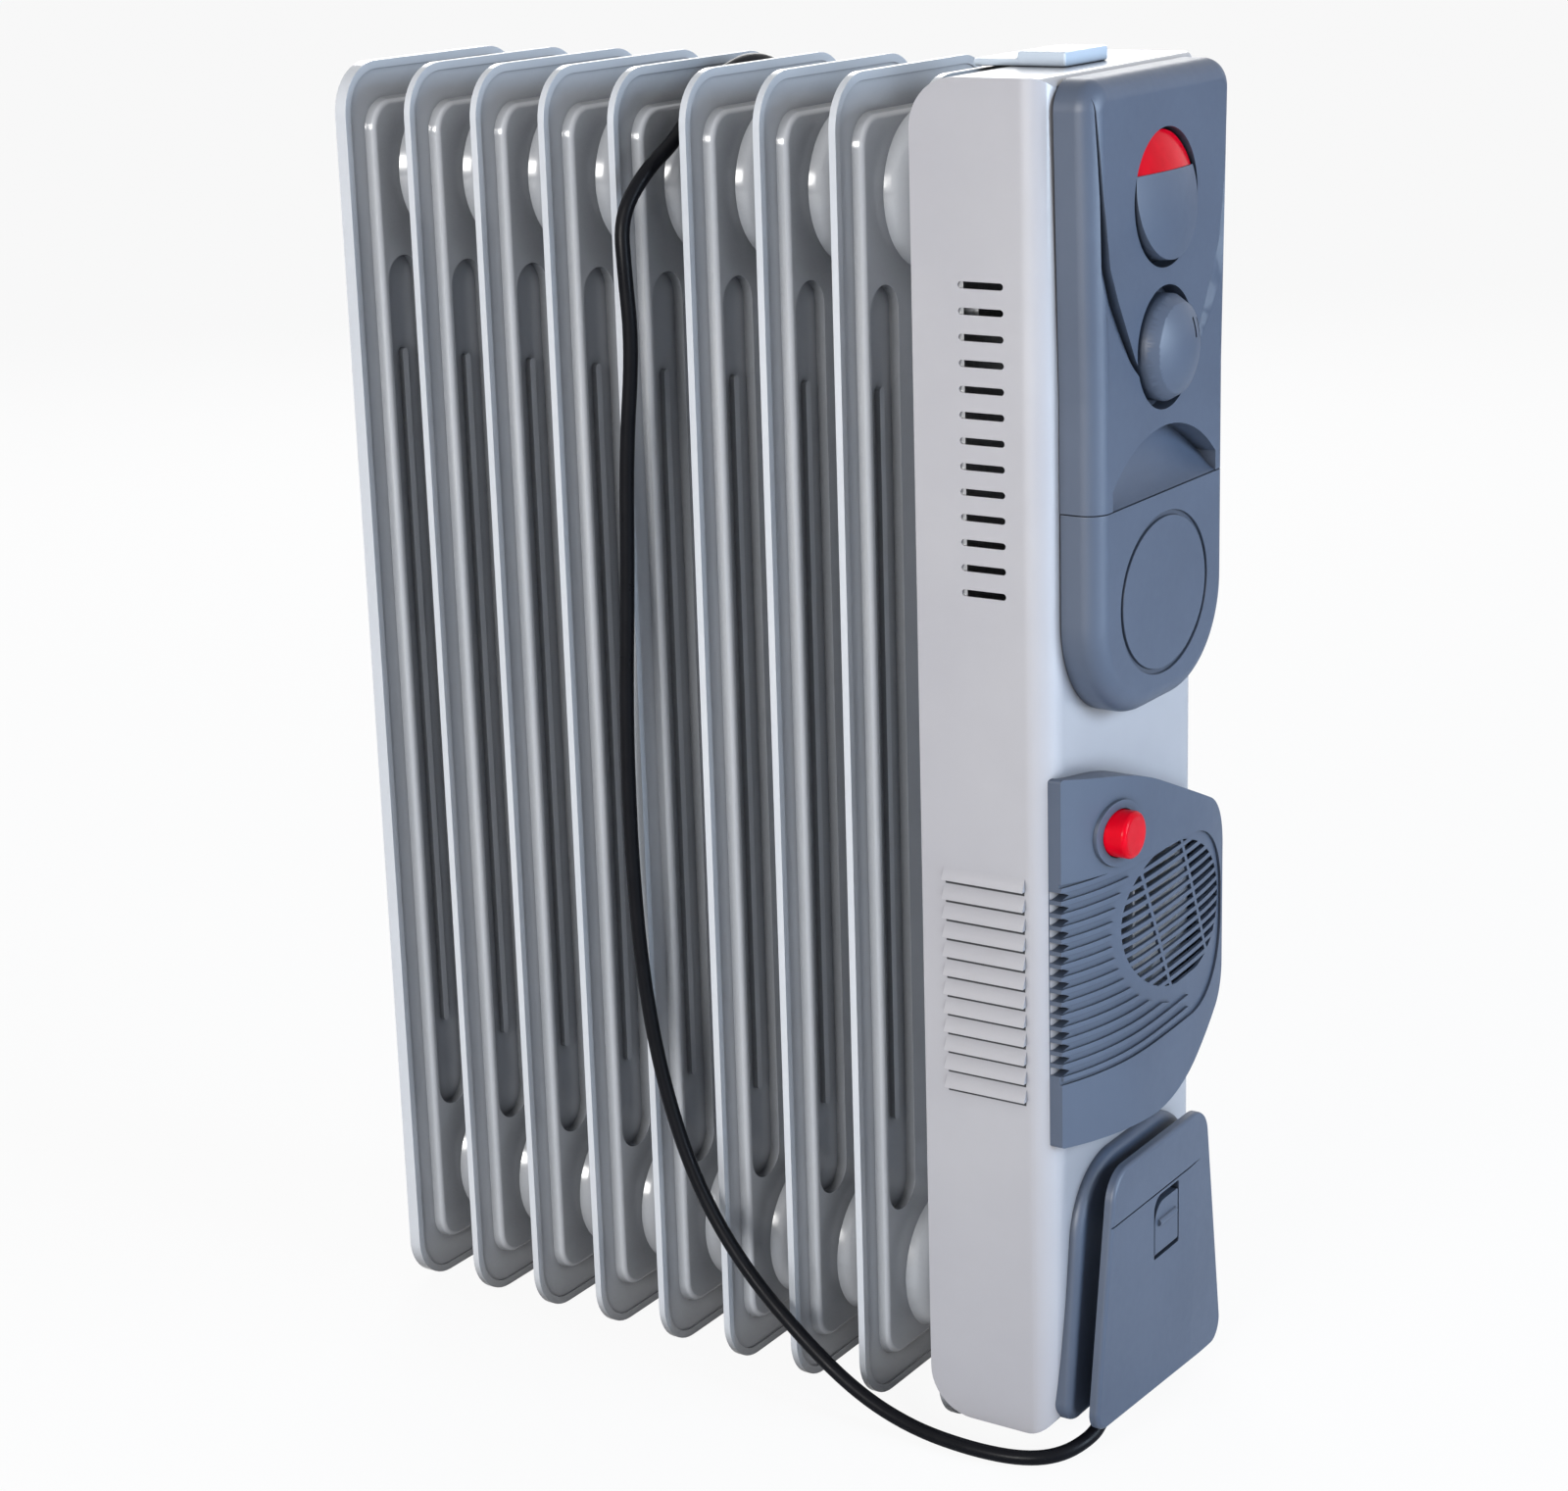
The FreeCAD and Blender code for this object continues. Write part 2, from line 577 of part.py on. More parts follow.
def make_elements():
    save("element_gasket", tube(X_PORT, X_PORT + GASKET_T, 0, BOSS_Z, PORT_R, PORT_BORE_R))
    x0 = X_PORT + GASKET_T
    head = hexagon(x0, x0 + FLANGE_T, BOSS_Z, FLANGE_HEX)
    head = head.fuse(rod(X_PORT - PORT_L, x0, 0, BOSS_Z, PORT_BORE_R))
    levels = (BOSS_Z - ELEMENT_BEND_R, BOSS_Z + ELEMENT_BEND_R)
    legs = [rod(X_PORT - PORT_L - 1, x0 + FLANGE_T + 1, sign * ELEMENT_BEND_R, z, ELEMENT_R)
            for z in levels for sign in (-1, 1)]
    save("element_flange", cut_all(head, legs))
    tip = x0 + FLANGE_T + ELEMENT_TAIL
    for name, z, far in (("heating_element_low", levels[0], X_FIN[0] + ELEMENT_END_GAP),
                         ("heating_element_high", levels[1], X_FIN[2])):
        save(name, hairpin(far, tip, z))
    cap = hexagon(X_PORT, X_PORT + FLANGE_T / 2, BOSS_TOP_Z, FLANGE_HEX)
    save("filler_plug", cap.fuse(rod(X_PORT - PORT_L, X_PORT, 0, BOSS_TOP_Z, PORT_BORE_R)))


# ---------------------------------------------------------------- housing
def housing_block(inset):
    """The housing's outer form, or its inner one when inset by the sheet."""
    x0 = X_REAR - (2 if inset else 0)
    x1 = X_FRONT - inset
    z0 = HOUSING_Z0 + inset
    z1 = HOUSING_TOP - inset
    half = HOUSING_W / 2 - inset
    rear = HOUSING_REAR_R - inset
    side = rounded_face([(x0, z0, rear), (x1, z0, HOUSING_LOW_R - inset), (x1, z1, HOUSING_TOP_R - inset),
                         (x0, z1, rear)], on_y, -half).extrude(V(0, 2 * half, 0))
    plan = rounded_face([(x0, -half, 0), (x1, -half, HOUSING_EDGE_R - inset),
                         (x1, half, HOUSING_EDGE_R - inset), (x0, half, 0)], on_z, z0)
    return side.common(plan.extrude(V(0, 0, z1 - z0)))


def slot_tools():
    """Cuts through both side walls for the vent slots and the louvres."""
    tools = []
    half = HOUSING_W / 2 + LOUVRE_PROUD + 1
    for i in range(SLOT_COUNT):
        z = SLOT_TOP_Z - i * SLOT_PITCH
        face = rounded_face(rect_corners(X_REAR + SLOT_X - SLOT_L / 2, X_REAR + SLOT_X + SLOT_L / 2,
                                         z - SLOT_H / 2, z + SLOT_H / 2, SLOT_H / 2 - EPS), on_y, -half)
        tools.append(face.extrude(V(0, 2 * half, 0)))
    return tools


def louvre(i, sign):
    """One pressed hood and the slit below it, open at its front end, as (hood, cuts)."""
    top = LOUVRE_TOP_Z - i * LOUVRE_PITCH
    low = top - LOUVRE_H
    wall = sign * HOUSING_W / 2
    out = sign * (HOUSING_W / 2 + LOUVRE_PROUD)
    inner = sign * (HOUSING_W / 2 - HOUSING_T)
    x0 = X_REAR + LOUVRE_X - LOUVRE_L / 2
    hood = Part.Face(Part.makePolygon([V(x0, wall, top), V(x0, out, low), V(x0, inner, low),
                                       V(x0, inner, top), V(x0, wall, top)]))
    t = LOUVRE_T
    x1 = x0 + t
    cuts = []
    for back, length in ((inner - sign, LOUVRE_L - 2 * t), (wall, LOUVRE_L)):
        cut = Part.Face(Part.makePolygon([V(x1, wall - sign * t, top - t), V(x1, out - sign * t, low - 1),
                                          V(x1, back, low - 1), V(x1, back, top - t),
                                          V(x1, wall - sign * t, top - t)]))
        cuts.append(cut.extrude(V(length, 0, 0)))
    return hood.extrude(V(LOUVRE_L, 0, 0)), cuts


def front_holes():
    """Openings in the housing's front for what passes through it."""
    x0 = X_FRONT - HOUSING_T - 2
    x1 = X_FRONT + 1
    return [rod(x0, x1, 0, ROCKER_Z, SWITCH_R + CLEAR),
            rod(x0, x1, 0, KNOB_Z, SHAFT_R + 3),
            rod(x0, x1, GRILLE_Y, GRILLE_Z, SHROUD_R - SHROUD_T),
            rod(x0, x1, BUTTON_Y, BUTTON_Z, BUTTON_SWITCH_R + CLEAR)]


def make_housing():
    shell = housing_block(0).cut(housing_block(HOUSING_T))
    pairs = [louvre(i, sign) for i in range(LOUVRE_COUNT) for sign in (-1, 1)]
    shell = fuse([shell] + [hood for hood, _ in pairs])
    shell = cut_all(shell, [cut for _, cuts in pairs for cut in cuts])
    save("housing_shell", cut_all(shell, slot_tools() + front_holes()))

    half = HOUSING_W / 2 - HOUSING_T
    x0 = X_REAR + SHIELD_X
    z0 = HOUSING_Z0 + SHIELD_MARGIN
    z1 = HOUSING_TOP - SHIELD_MARGIN
    shield = box(x0, x0 + SHIELD_T, -half, half, z0, z1)
    for sign in (-1, 1):
        y0, y1 = sorted((sign * half, sign * (half - SHIELD_T)))
        shield = shield.fuse(box(x0 + SHIELD_T - SHIELD_FLANGE, x0 + SHIELD_T, y0, y1, z0, z1))
    holes = [rod(x0 - 1, x0 + 2, 0, BOSS_Z, FLANGE_HEX / 2 + 6)]
    holes += [rod(x0 - 1, x0 + 2, y, z, SCREW_R) for y, z in standoff_spots()]
    save("heat_shield", cut_all(shield, holes))
    for i, (y, z) in enumerate(standoff_spots()):
        post = tube(X_END + SHEET, x0, y, z, STANDOFF_R, SCREW_R)
        save("standoff_%d" % (i + 1), post)
        screw = rod(x0 + SHIELD_T, x0 + SHIELD_T + SCREW_HEAD_T, y, z, SCREW_HEAD_R)
        screw = screw.fuse(rod(X_END + SHEET + 1, x0 + SHIELD_T, y, z, SCREW_R - 0.1))
        save("standoff_screw_%d" % (i + 1), screw)


def standoff_spots():
    return [(y, z) for z in (STANDOFF_Z, FIN_H - STANDOFF_Z) for y in (-STANDOFF_Y, STANDOFF_Y)]


def make_cap():
    x1 = X_REAR + CAP_X + CAP_L / 2
    low = box(x1 - CAP_L, x1, -CAP_W / 2, CAP_W / 2, HOUSING_TOP, HOUSING_TOP + CAP_STEP)
    block = box(x1 - CAP_BLOCK_L, x1, -CAP_W / 2, CAP_W / 2, HOUSING_TOP, HOUSING_TOP + CAP_H)
    save("top_cap", low.fuse(block))


# ---------------------------------------------------------------- control panel
def panel_corners(inset):
    top = PANEL_TOP_W / 2 - inset
    half = PANEL_W / 2 - inset
    low = PANEL_LOW_Z + inset
    high = PANEL_TOP_Z - inset
    return [(-half, low, PANEL_LOW_R - inset), (half, low, PANEL_LOW_R - inset), (half, PANEL_WAIST_Z, 80),
            (top, high, PANEL_TOP_R - inset), (-top, high, PANEL_TOP_R - inset), (-half, PANEL_WAIST_Z, 80)]


def panel_block(inset):
    """The moulding's outer form, its front edge rounded, or its inner one."""
    block = prism_x(panel_corners(inset), X_FRONT - (1 if inset else 0), X_PANEL - inset)
    rim = [e for e in block.Edges if min(v.X for v in e.Vertexes) > X_PANEL - inset - EPS]
    return block.makeFillet(PANEL_EDGE_R - inset, rim)


def pocket_form(wall):
    """Finger scoop under an arch, from the seam up, or with a wall what surrounds it."""
    half = POCKET_W / 2 + wall
    base = SEAM_Z + SEAM_GAP / 2
    crown = SEAM_Z + POCKET_H + wall
    shoulder = base + (crown - base) * 0.30
    x0 = X_PANEL - POCKET_D - wall
    x1 = X_PANEL + 1
    edges = [Part.LineSegment(V(x0, -half, base), V(x0, half, base)).toShape(),
             Part.LineSegment(V(x0, half, base), V(x0, half, shoulder)).toShape(),
             Part.Arc(V(x0, half, shoulder), V(x0, 0, crown), V(x0, -half, shoulder)).toShape(),
             Part.LineSegment(V(x0, -half, shoulder), V(x0, -half, base)).toShape()]
    arch = Part.Face(Part.Wire(edges)).extrude(V(x1 - x0, 0, 0))
    points = [V(X_PANEL - depth - wall, -half - 1, SEAM_Z + up) for up, depth in POCKET_RAMP]
    points.append(V(x0, -half - 1, crown + 1))
    floor = Part.BSplineCurve()
    floor.interpolate(points)
    top = V(x1, -half - 1, crown + 1)
    low = V(x1, -half - 1, SEAM_Z)
    edges = [floor.toShape(), Part.LineSegment(points[-1], top).toShape(),
             Part.LineSegment(top, low).toShape(), Part.LineSegment(low, points[0]).toShape()]
    return arch.common(Part.Face(Part.Wire(edges)).extrude(V(0, 2 * half + 2, 0)))


def crease(side, wall):
    """Wedge-shaped groove along one side of the raised middle, or with a wall what backs it."""
    points = [V(X_PANEL, side * (PANEL_TOP_W / 2 - inward), KNOB_Z + up) for inward, up, _, _ in CREASE]
    sections = []
    for i, (_, _, depth, width) in enumerate(CREASE):
        along = points[min(i + 1, len(points) - 1)] - points[max(i - 1, 0)]
        outward = V(side, 0, 0).cross(along).normalize()
        inner = points[i] - outward * wall
        top = inner + V(1, 0, 0)
        outer = points[i] + V(1, 0, 0) + outward * (width * (depth + 1) / depth + wall)
        sections.append(Part.makePolygon([top, inner - V(depth + wall, 0, 0), outer, top]))
    return Part.makeLoft(sections, True, True)


def make_panels():
    hollow = panel_block(0).cut(panel_block(PLASTIC_T))
    wide = HOUSING_W
    low = SEAM_Z - SEAM_GAP / 2
    high = SEAM_Z + SEAM_GAP / 2
    skin = X_PANEL - PLASTIC_T / 2               # walls behind the face start inside it
    upper = hollow.common(box(X_FRONT, X_PANEL + 1, -wide, wide, high, FIN_H + 20))
    behind = panel_block(PLASTIC_T / 2).common(box(X_FRONT, X_PANEL, -wide, wide, high, FIN_H))
    linings = [form.common(behind) for form in (pocket_form(PLASTIC_T), crease(-1, PLASTIC_T),
                                                crease(1, PLASTIC_T))]
    rocker_hole = ROCKER_R + ROCKER_GAP
    dish_r = KNOB_R + KNOB_DISH_GAP
    dish = rod(X_PANEL - KNOB_DISH_D - PLASTIC_T, skin, 0, KNOB_Z, dish_r + PLASTIC_T)
    collar = tube(X_FRONT, skin, 0, ROCKER_Z, rocker_hole + PLASTIC_T, rocker_hole)
    upper = fuse([upper, dish, collar] + linings)
    holes = [pocket_form(0),
             rod(X_PANEL - KNOB_DISH_D, X_PANEL + 1, 0, KNOB_Z, dish_r),
             rod(X_FRONT, X_PANEL + 1, 0, KNOB_Z, SHAFT_R + CLEAR),
             rod(X_FRONT - 1, X_PANEL + 1, 0, ROCKER_Z, rocker_hole),
             crease(-1, 0), crease(1, 0)]
    save("control_panel", cut_all(upper, holes))

    lower = hollow.common(box(X_FRONT, X_PANEL + 1, -wide, wide, 0, low))
    ledge = panel_block(0).common(box(X_FRONT, X_PANEL + 1, -wide, wide, low - PLASTIC_T, low))
    save("badge_cover", lower.fuse(ledge).cut(oval_ring()))


def oval(y, z, a, b, x0, x1, tilt=0.0):
    """Elliptical prism along X, its long axis turned by tilt degrees from Y."""
    face = Part.Face(Part.Wire([Part.Ellipse(V(0, 0, 0), a, b).toShape()]))
    face.rotate(V(0, 0, 0), V(0, 0, 1), tilt)
    face.rotate(V(0, 0, 0), V(1, 1, 1), 120)
    face.translate(V(x0, y, z))
    return face.extrude(V(x1 - x0, 0, 0))


def oval_ring():
    """Shallow groove around the bare oval badge field."""
    x0 = X_PANEL - BADGE_GROOVE_D
    outer = oval(0, BADGE_Z, BADGE_W / 2, BADGE_H / 2, x0, X_PANEL + 1)
    return outer.cut(oval(0, BADGE_Z, BADGE_W / 2 - BADGE_GROOVE, BADGE_H / 2 - BADGE_GROOVE,
                          x0 - 1, X_PANEL + 2))


# ---------------------------------------------------------------- rocker switch and knob
def rocker_disc(sunk, gap):
    """Round rocker, domed on its face, which may lie lower and be smaller."""
    crown = X_PANEL + ROCKER_PROUD - sunk
    r = ROCKER_R - ROCKER_TILT_GAP
    ball_r = (r ** 2 + ROCKER_DOME ** 2) / (2 * ROCKER_DOME)
    ball = Part.makeSphere(ball_r, V(crown - ball_r, 0, ROCKER_Z))
    return rod(X_ROCKER, crown + 1, 0, ROCKER_Z, r - gap).common(ball)


def save_tilted(name, shape):
    """Save a piece of the rocker as it stands at rest."""
    shape.rotate(V(X_PIVOT, 0, ROCKER_Z), V(0, 1, 0), -ROCKER_TILT)
    save(name, shape)


def make_rocker():
    disc = rocker_disc(0, 0)
    split = ROCKER_Z + ROCKER_SPLIT
    wide = HOUSING_W
    ear = ROCKER_R * 0.45                        # half width of the rocker's ears
    lens_room = box(X_ROCKER + PLASTIC_T, X_PANEL + 20, -wide, wide, split, PANEL_TOP_Z)
    save_tilted("rocker_lens", rocker_disc(LENS_SUNK, LENS_GAP).common(lens_room))
    ears = box(X_PIVOT - 3, X_ROCKER, -ear, ear, ROCKER_Z - 4, ROCKER_Z + 4)
    pad = disc.cut(lens_room).fuse(ears)
    save_tilted("rocker_pad", pad.cut(rod_y(-wide, wide, X_PIVOT, ROCKER_Z, PIVOT_R + SHAFT_CLEARANCE)))
    pin_half = SWITCH_R - 1
    save("rocker_pin", rod_y(-pin_half, pin_half, X_PIVOT, ROCKER_Z, PIVOT_R))

    back = X_FRONT - SWITCH_D
    body = rod(back, X_PIVOT - 2, 0, ROCKER_Z, SWITCH_R)
    for sign in (-1, 1):
        y0, y1 = sorted((sign * (ear + 1), sign * SWITCH_R))
        lug = box(X_PIVOT - 3, X_PIVOT + 2.2, y0, y1, ROCKER_Z - 3.5, ROCKER_Z + 3.5)
        body = body.fuse(lug.common(rod(X_PIVOT - 3, X_PIVOT + 3, 0, ROCKER_Z, SWITCH_R)))
    trough = box(X_PIVOT - 6, X_PIVOT + 4, -ear - 1, ear + 1, ROCKER_Z - 7, ROCKER_Z + 7)
    body = cut_all(body, [trough, rod_y(-pin_half, pin_half, X_PIVOT, ROCKER_Z, PIVOT_R)])
    tabs = [box(back - 6, back + 1, -3, 3, ROCKER_Z + dz - 0.4, ROCKER_Z + dz + 0.4) for dz in (-9, 0, 9)]
    save("rocker_switch_body", fuse([body] + tabs))


def make_knob(base, hub_end):
    """Domed knob with a sloping flank, hollow behind, and two marks cut in its face."""
    rim = X_PANEL + KNOB_SKIRT
    crown = X_PANEL + KNOB_PROUD
    slope = (KNOB_R - KNOB_FACE_R) / (KNOB_FACE_H - KNOB_SKIRT)
    flank = Part.makeCone(KNOB_R, KNOB_R - slope * (crown - rim), crown - rim, V(rim, 0, KNOB_Z), V(1, 0, 0))
    dome = KNOB_PROUD - KNOB_FACE_H
    ball_r = (KNOB_FACE_R ** 2 + dome ** 2) / (2 * dome)
    centre = V(crown - ball_r, 0, KNOB_Z)
    knob = rod(base, rim, 0, KNOB_Z, KNOB_R).fuse(flank.common(Part.makeSphere(ball_r, centre)))
    knob = knob.cut(rod(base - 1, rim + KNOB_HOLLOW, 0, KNOB_Z, KNOB_FACE_R - KNOB_WALL))
    knob = knob.fuse(rod(base + 1, rim + KNOB_HOLLOW, 0, KNOB_Z, SHAFT_R + KNOB_WALL))
    marks = [box(rim, crown + 1, y - KNOB_MARK_W / 2, y + KNOB_MARK_W / 2, KNOB_Z + z - KNOB_MARK_L / 2,
                 KNOB_Z + z + KNOB_MARK_L / 2) for y, z in KNOB_MARKS]
    below = Part.makeSphere(ball_r - KNOB_MARK_D, centre)
    knob = cut_all(knob, [mark.cut(below) for mark in marks])
    save("thermostat_knob", knob.cut(rod(base - 1, hub_end, 0, KNOB_Z, SHAFT_R)))


def make_thermostat():
    end = X_PANEL + KNOB_SKIRT + KNOB_HOLLOW + KNOB_WALL
    make_knob(X_PANEL - KNOB_DISH_D + KNOB_LIFT, end)
    body_front = X_FRONT - 4
    body_back = body_front - THERMOSTAT_D
    foot = body_front - 6
    save("thermostat_shaft", rod(foot, end, 0, KNOB_Z, SHAFT_R))
    body = rod(body_back, body_front, 0, KNOB_Z, THERMOSTAT_R)
    body = body.fuse(rod(body_front, X_FRONT - HOUSING_T, 0, KNOB_Z, SHAFT_R + 5))
    save("thermostat_body", body.cut(rod(foot, X_FRONT, 0, KNOB_Z, SHAFT_R + SHAFT_CLEARANCE)))
    half = THERMOSTAT_R + 5
    bracket = box(body_back - SHIELD_T, body_back, -half, half, KNOB_Z - 10, KNOB_Z + 10)
    for sign in (-1, 1):
        y0, y1 = sorted((sign * half, sign * (half - SHIELD_T)))
        bracket = bracket.fuse(box(X_SHIELD, body_back, y0, y1, KNOB_Z - 10, KNOB_Z + 10))
    save("thermostat_bracket", bracket)


# ---------------------------------------------------------------- fan heater
def fan_outline(inset):
    """Leaf-shaped outline of the fan panel."""
    left = -FAN_LEFT + inset
    right = FAN_RIGHT - inset
    low = FAN_LOW_Z + inset
    high = FAN_TOP_Z - inset
    return [(left, low, 1.0), (GRILLE_Y, low - 3, 70), (right, low + FAN_BELLY, 22),
            (right, high - FAN_SHOULDER, 28), (FAN_BROW_Y, high - FAN_BROW, 150), (left, high, 1.5)]


def fan_profile(inset):
    """Plan of the fan panel: flush at its left edge and full at its right."""
    back = X_FRONT - HOUSING_EDGE_R
    y0 = -FAN_LEFT - 1
    y1 = FAN_RIGHT + 1
    points = [V(X_FRONT + depth - inset, y0 + along, 0) for along, depth in FAN_RISE]
    points.append(V(X_FRONT + FAN_RIGHT_D - inset, y1, 0))
    curve = Part.BSplineCurve()
    curve.interpolate(points)
    edges = [curve.toShape(),
             Part.LineSegment(points[-1], V(back, y1, 0)).toShape(),
             Part.LineSegment(V(back, y1, 0), V(back, y0, 0)).toShape(),
             Part.LineSegment(V(back, y0, 0), points[0]).toShape()]
    return Part.Face(Part.Wire(edges)).extrude(V(0, 0, FIN_H))


def fan_block(inset):
    """The fan panel's outer form, or its inner one when inset by its wall."""
    reach = X_FRONT - HOUSING_EDGE_R * 0.4
    return prism_x(fan_outline(inset), reach, X_FRONT + FAN_D + 5).common(fan_profile(inset))


def grille_oval(margin, x0, x1):
    return oval(GRILLE_Y, GRILLE_Z, GRILLE_A + margin, GRILLE_B + margin, x0, x1, GRILLE_TILT)


def grille_slots():
    """Slots across the oval, crossed by two leaning bars that stay."""
    pitch = GRILLE_SLOT + GRILLE_BAR
    count = int(2 * GRILLE_B / pitch)
    reach = X_FRONT + FAN_D + 2
    wide = 2 * GRILLE_A
    slots = []
    for i in range(count):
        z = GRILLE_Z + (i - (count - 1) / 2) * pitch
        slots.append(box(X_FRONT, reach, GRILLE_Y - wide, GRILLE_Y + wide,
                         z - GRILLE_SLOT / 2, z + GRILLE_SLOT / 2))
    field = Part.makeCompound(slots)
    field.rotate(V(X_FRONT, GRILLE_Y, GRILLE_Z), V(1, 0, 0), SLOT_TILT)
    third = GRILLE_A * 0.36
    bars = Part.makeCompound([
        box(X_FRONT - 1, reach + 1, GRILLE_Y + dy - GRILLE_BAR / 2, GRILLE_Y + dy + GRILLE_BAR / 2,
            GRILLE_Z - wide, GRILLE_Z + wide) for dy in (-third, third)])
    bars.rotate(V(X_FRONT, GRILLE_Y, GRILLE_Z), V(1, 0, 0), BAR_LEAN)
    return grille_oval(-2, X_FRONT, reach).common(field).cut(bars)


def fan_relief():
    """What is cut from the panel's face: a sunk field with ribs left standing on it."""
    reach = X_FRONT + FAN_D + 2
    low = RIB_LOW_Z - RIB_PITCH / 2
    high = low + RIB_COUNT * RIB_PITCH
    edge = -FAN_LEFT - 1
    right = FAN_RIGHT - 2.5
    corners = [(edge, low, 0), (right, low + 5, RELIEF_R), (right, high - 2, RELIEF_R), (edge, high, 0)]
    field = prism_x(corners, X_FRONT - 1, reach)
    ribs = [box(X_FRONT - 2, reach + 1, edge - 1, right, RIB_LOW_Z + i * RIB_PITCH - RIB_LINE / 2,
                RIB_LOW_Z + i * RIB_PITCH + RIB_LINE / 2) for i in range(RIB_COUNT)]
    ribs = Part.makeCompound(ribs)
    ribs.rotate(V(X_FRONT, -FAN_LEFT, GRILLE_Z), V(1, 0, 0), SLOT_TILT)
    ribs = ribs.cut(grille_oval(GRILLE_MARGIN, X_FRONT - 2, reach + 2))
    ribs = ribs.cut(box(X_FRONT - 2, reach + 2, GRILLE_Y + 10, right + 1, 0, FIN_H))
    under = prism_x(fan_outline(-5), X_FRONT - 3, reach).common(fan_profile(RELIEF))
    notches = []
    for i in range(RIB_COUNT - 1):
        z = RIB_LOW_Z + (i + 0.5) * RIB_PITCH
        notches.append(prism_x([(edge, z - NOTCH_W / 2, 0), (1 - FAN_LEFT, z - NOTCH_W / 2, 0),
                                (NOTCH_L - FAN_LEFT, z, 0), (1 - FAN_LEFT, z + NOTCH_W / 2, 0),
                                (edge, z + NOTCH_W / 2, 0)], X_FRONT - 3, reach))
    return [field.cut(ribs).cut(under)] + notches


def button_face():
    """Where the fan panel's crowned face lies at the button."""
    line = Part.LineSegment(V(X_FRONT - 2, BUTTON_Y, BUTTON_Z), V(X_FRONT + 50, BUTTON_Y, BUTTON_Z)).toShape()
    return line.common(fan_block(0)).BoundBox.XMax


def make_fan_panel():
    face = button_face()
    hole = BUTTON_R + BUTTON_GAP
    notched = box(X_FRONT - HOUSING_EDGE_R, X_FRONT + FAN_D, -FAN_LEFT - 1,
                  NOTCH_L + PLASTIC_T - FAN_LEFT, 0, FIN_H)
    shell = fan_block(0).cut(fan_block(PLASTIC_T).cut(notched)).cut(housing_block(0))
    collar = tube(X_FRONT, face + 5, BUTTON_Y, BUTTON_Z, hole + PLASTIC_T, hole)
    shell = shell.fuse(collar.common(fan_block(PLASTIC_T / 2)).cut(housing_block(0)))
    shell = shell.cut(rod(X_FRONT, face + 10, BUTTON_Y, BUTTON_Z, hole))
    save("fan_panel", cut_all(shell.cut(grille_slots()), fan_relief()))
    ring = tube(X_FRONT, face + 10, BUTTON_Y, BUTTON_Z, BEZEL_R, hole)
    save("button_bezel", ring.common(fan_block(-BEZEL_H)).cut(fan_block(0)))


def make_fan_button():
    face = button_face()
    back = X_FRONT - HOUSING_T - BUTTON_TRAVEL - 1
    step = X_FRONT + BUTTON_TRAVEL + CLEAR
    front = face + BUTTON_PROUD
    button = rod(step, front, BUTTON_Y, BUTTON_Z, BUTTON_R)
    button = button.makeFillet(BUTTON_EDGE_R, [e for e in button.Edges if e.BoundBox.XMin > front - 1])
    save("fan_button", button.fuse(rod(back, step, BUTTON_Y, BUTTON_Z, BUTTON_STEM_R)))
    body = rod(back - 14, X_FRONT - HOUSING_T / 2, BUTTON_Y, BUTTON_Z, BUTTON_SWITCH_R)
    save("fan_switch_body", body.cut(rod(back - BUTTON_TRAVEL - 1, X_FRONT, BUTTON_Y, BUTTON_Z,
                                         BUTTON_STEM_R + SHAFT_CLEARANCE)))


def make_fan():
    x0 = X_SHIELD + MOTOR_L
    hub_back = x0 + 4
    shaft_end = hub_back + IMPELLER_L
    motor = rod(X_SHIELD, x0, GRILLE_Y, GRILLE_Z, MOTOR_R)
    save("fan_motor", motor.cut(rod(x0 - 8, x0 + 1, GRILLE_Y, GRILLE_Z, MOTOR_SHAFT_R + SHAFT_CLEARANCE)))
    save("motor_shaft", rod(x0 - 7.5, shaft_end, GRILLE_Y, GRILLE_Z, MOTOR_SHAFT_R))
    hub = rod(hub_back, shaft_end, GRILLE_Y, GRILLE_Z, IMPELLER_HUB_R)
    blades = []
    for i in range(BLADES):
        blade = box(hub_back + 0.5, shaft_end - 0.5, GRILLE_Y - 0.7, GRILLE_Y + 0.7,
                    GRILLE_Z + IMPELLER_HUB_R - 2, GRILLE_Z + IMPELLER_R)
        blade.rotate(V(hub_back + IMPELLER_L / 2, GRILLE_Y, GRILLE_Z), V(0, 0, 1), 35)
        blade.rotate(V(x0, GRILLE_Y, GRILLE_Z), V(1, 0, 0), 360 * i / BLADES)
        blades.append(blade)
    save("impeller", fuse([hub] + blades).cut(rod(x0, shaft_end + 1, GRILLE_Y, GRILLE_Z, MOTOR_SHAFT_R)))
    shroud = tube(x0 - 2, X_FRONT - HOUSING_T, GRILLE_Y, GRILLE_Z, SHROUD_R, SHROUD_R - SHROUD_T)
    for quarter in range(4):
        leg = box(x0 - 2, x0, GRILLE_Y + MOTOR_R, GRILLE_Y + SHROUD_R - SHROUD_T / 2,
                  GRILLE_Z - 2, GRILLE_Z + 2)
        leg.rotate(V(x0, GRILLE_Y, GRILLE_Z), V(1, 0, 0), 90 * quarter + 45)
        shroud = shroud.fuse(leg)
    save("fan_shroud", shroud)


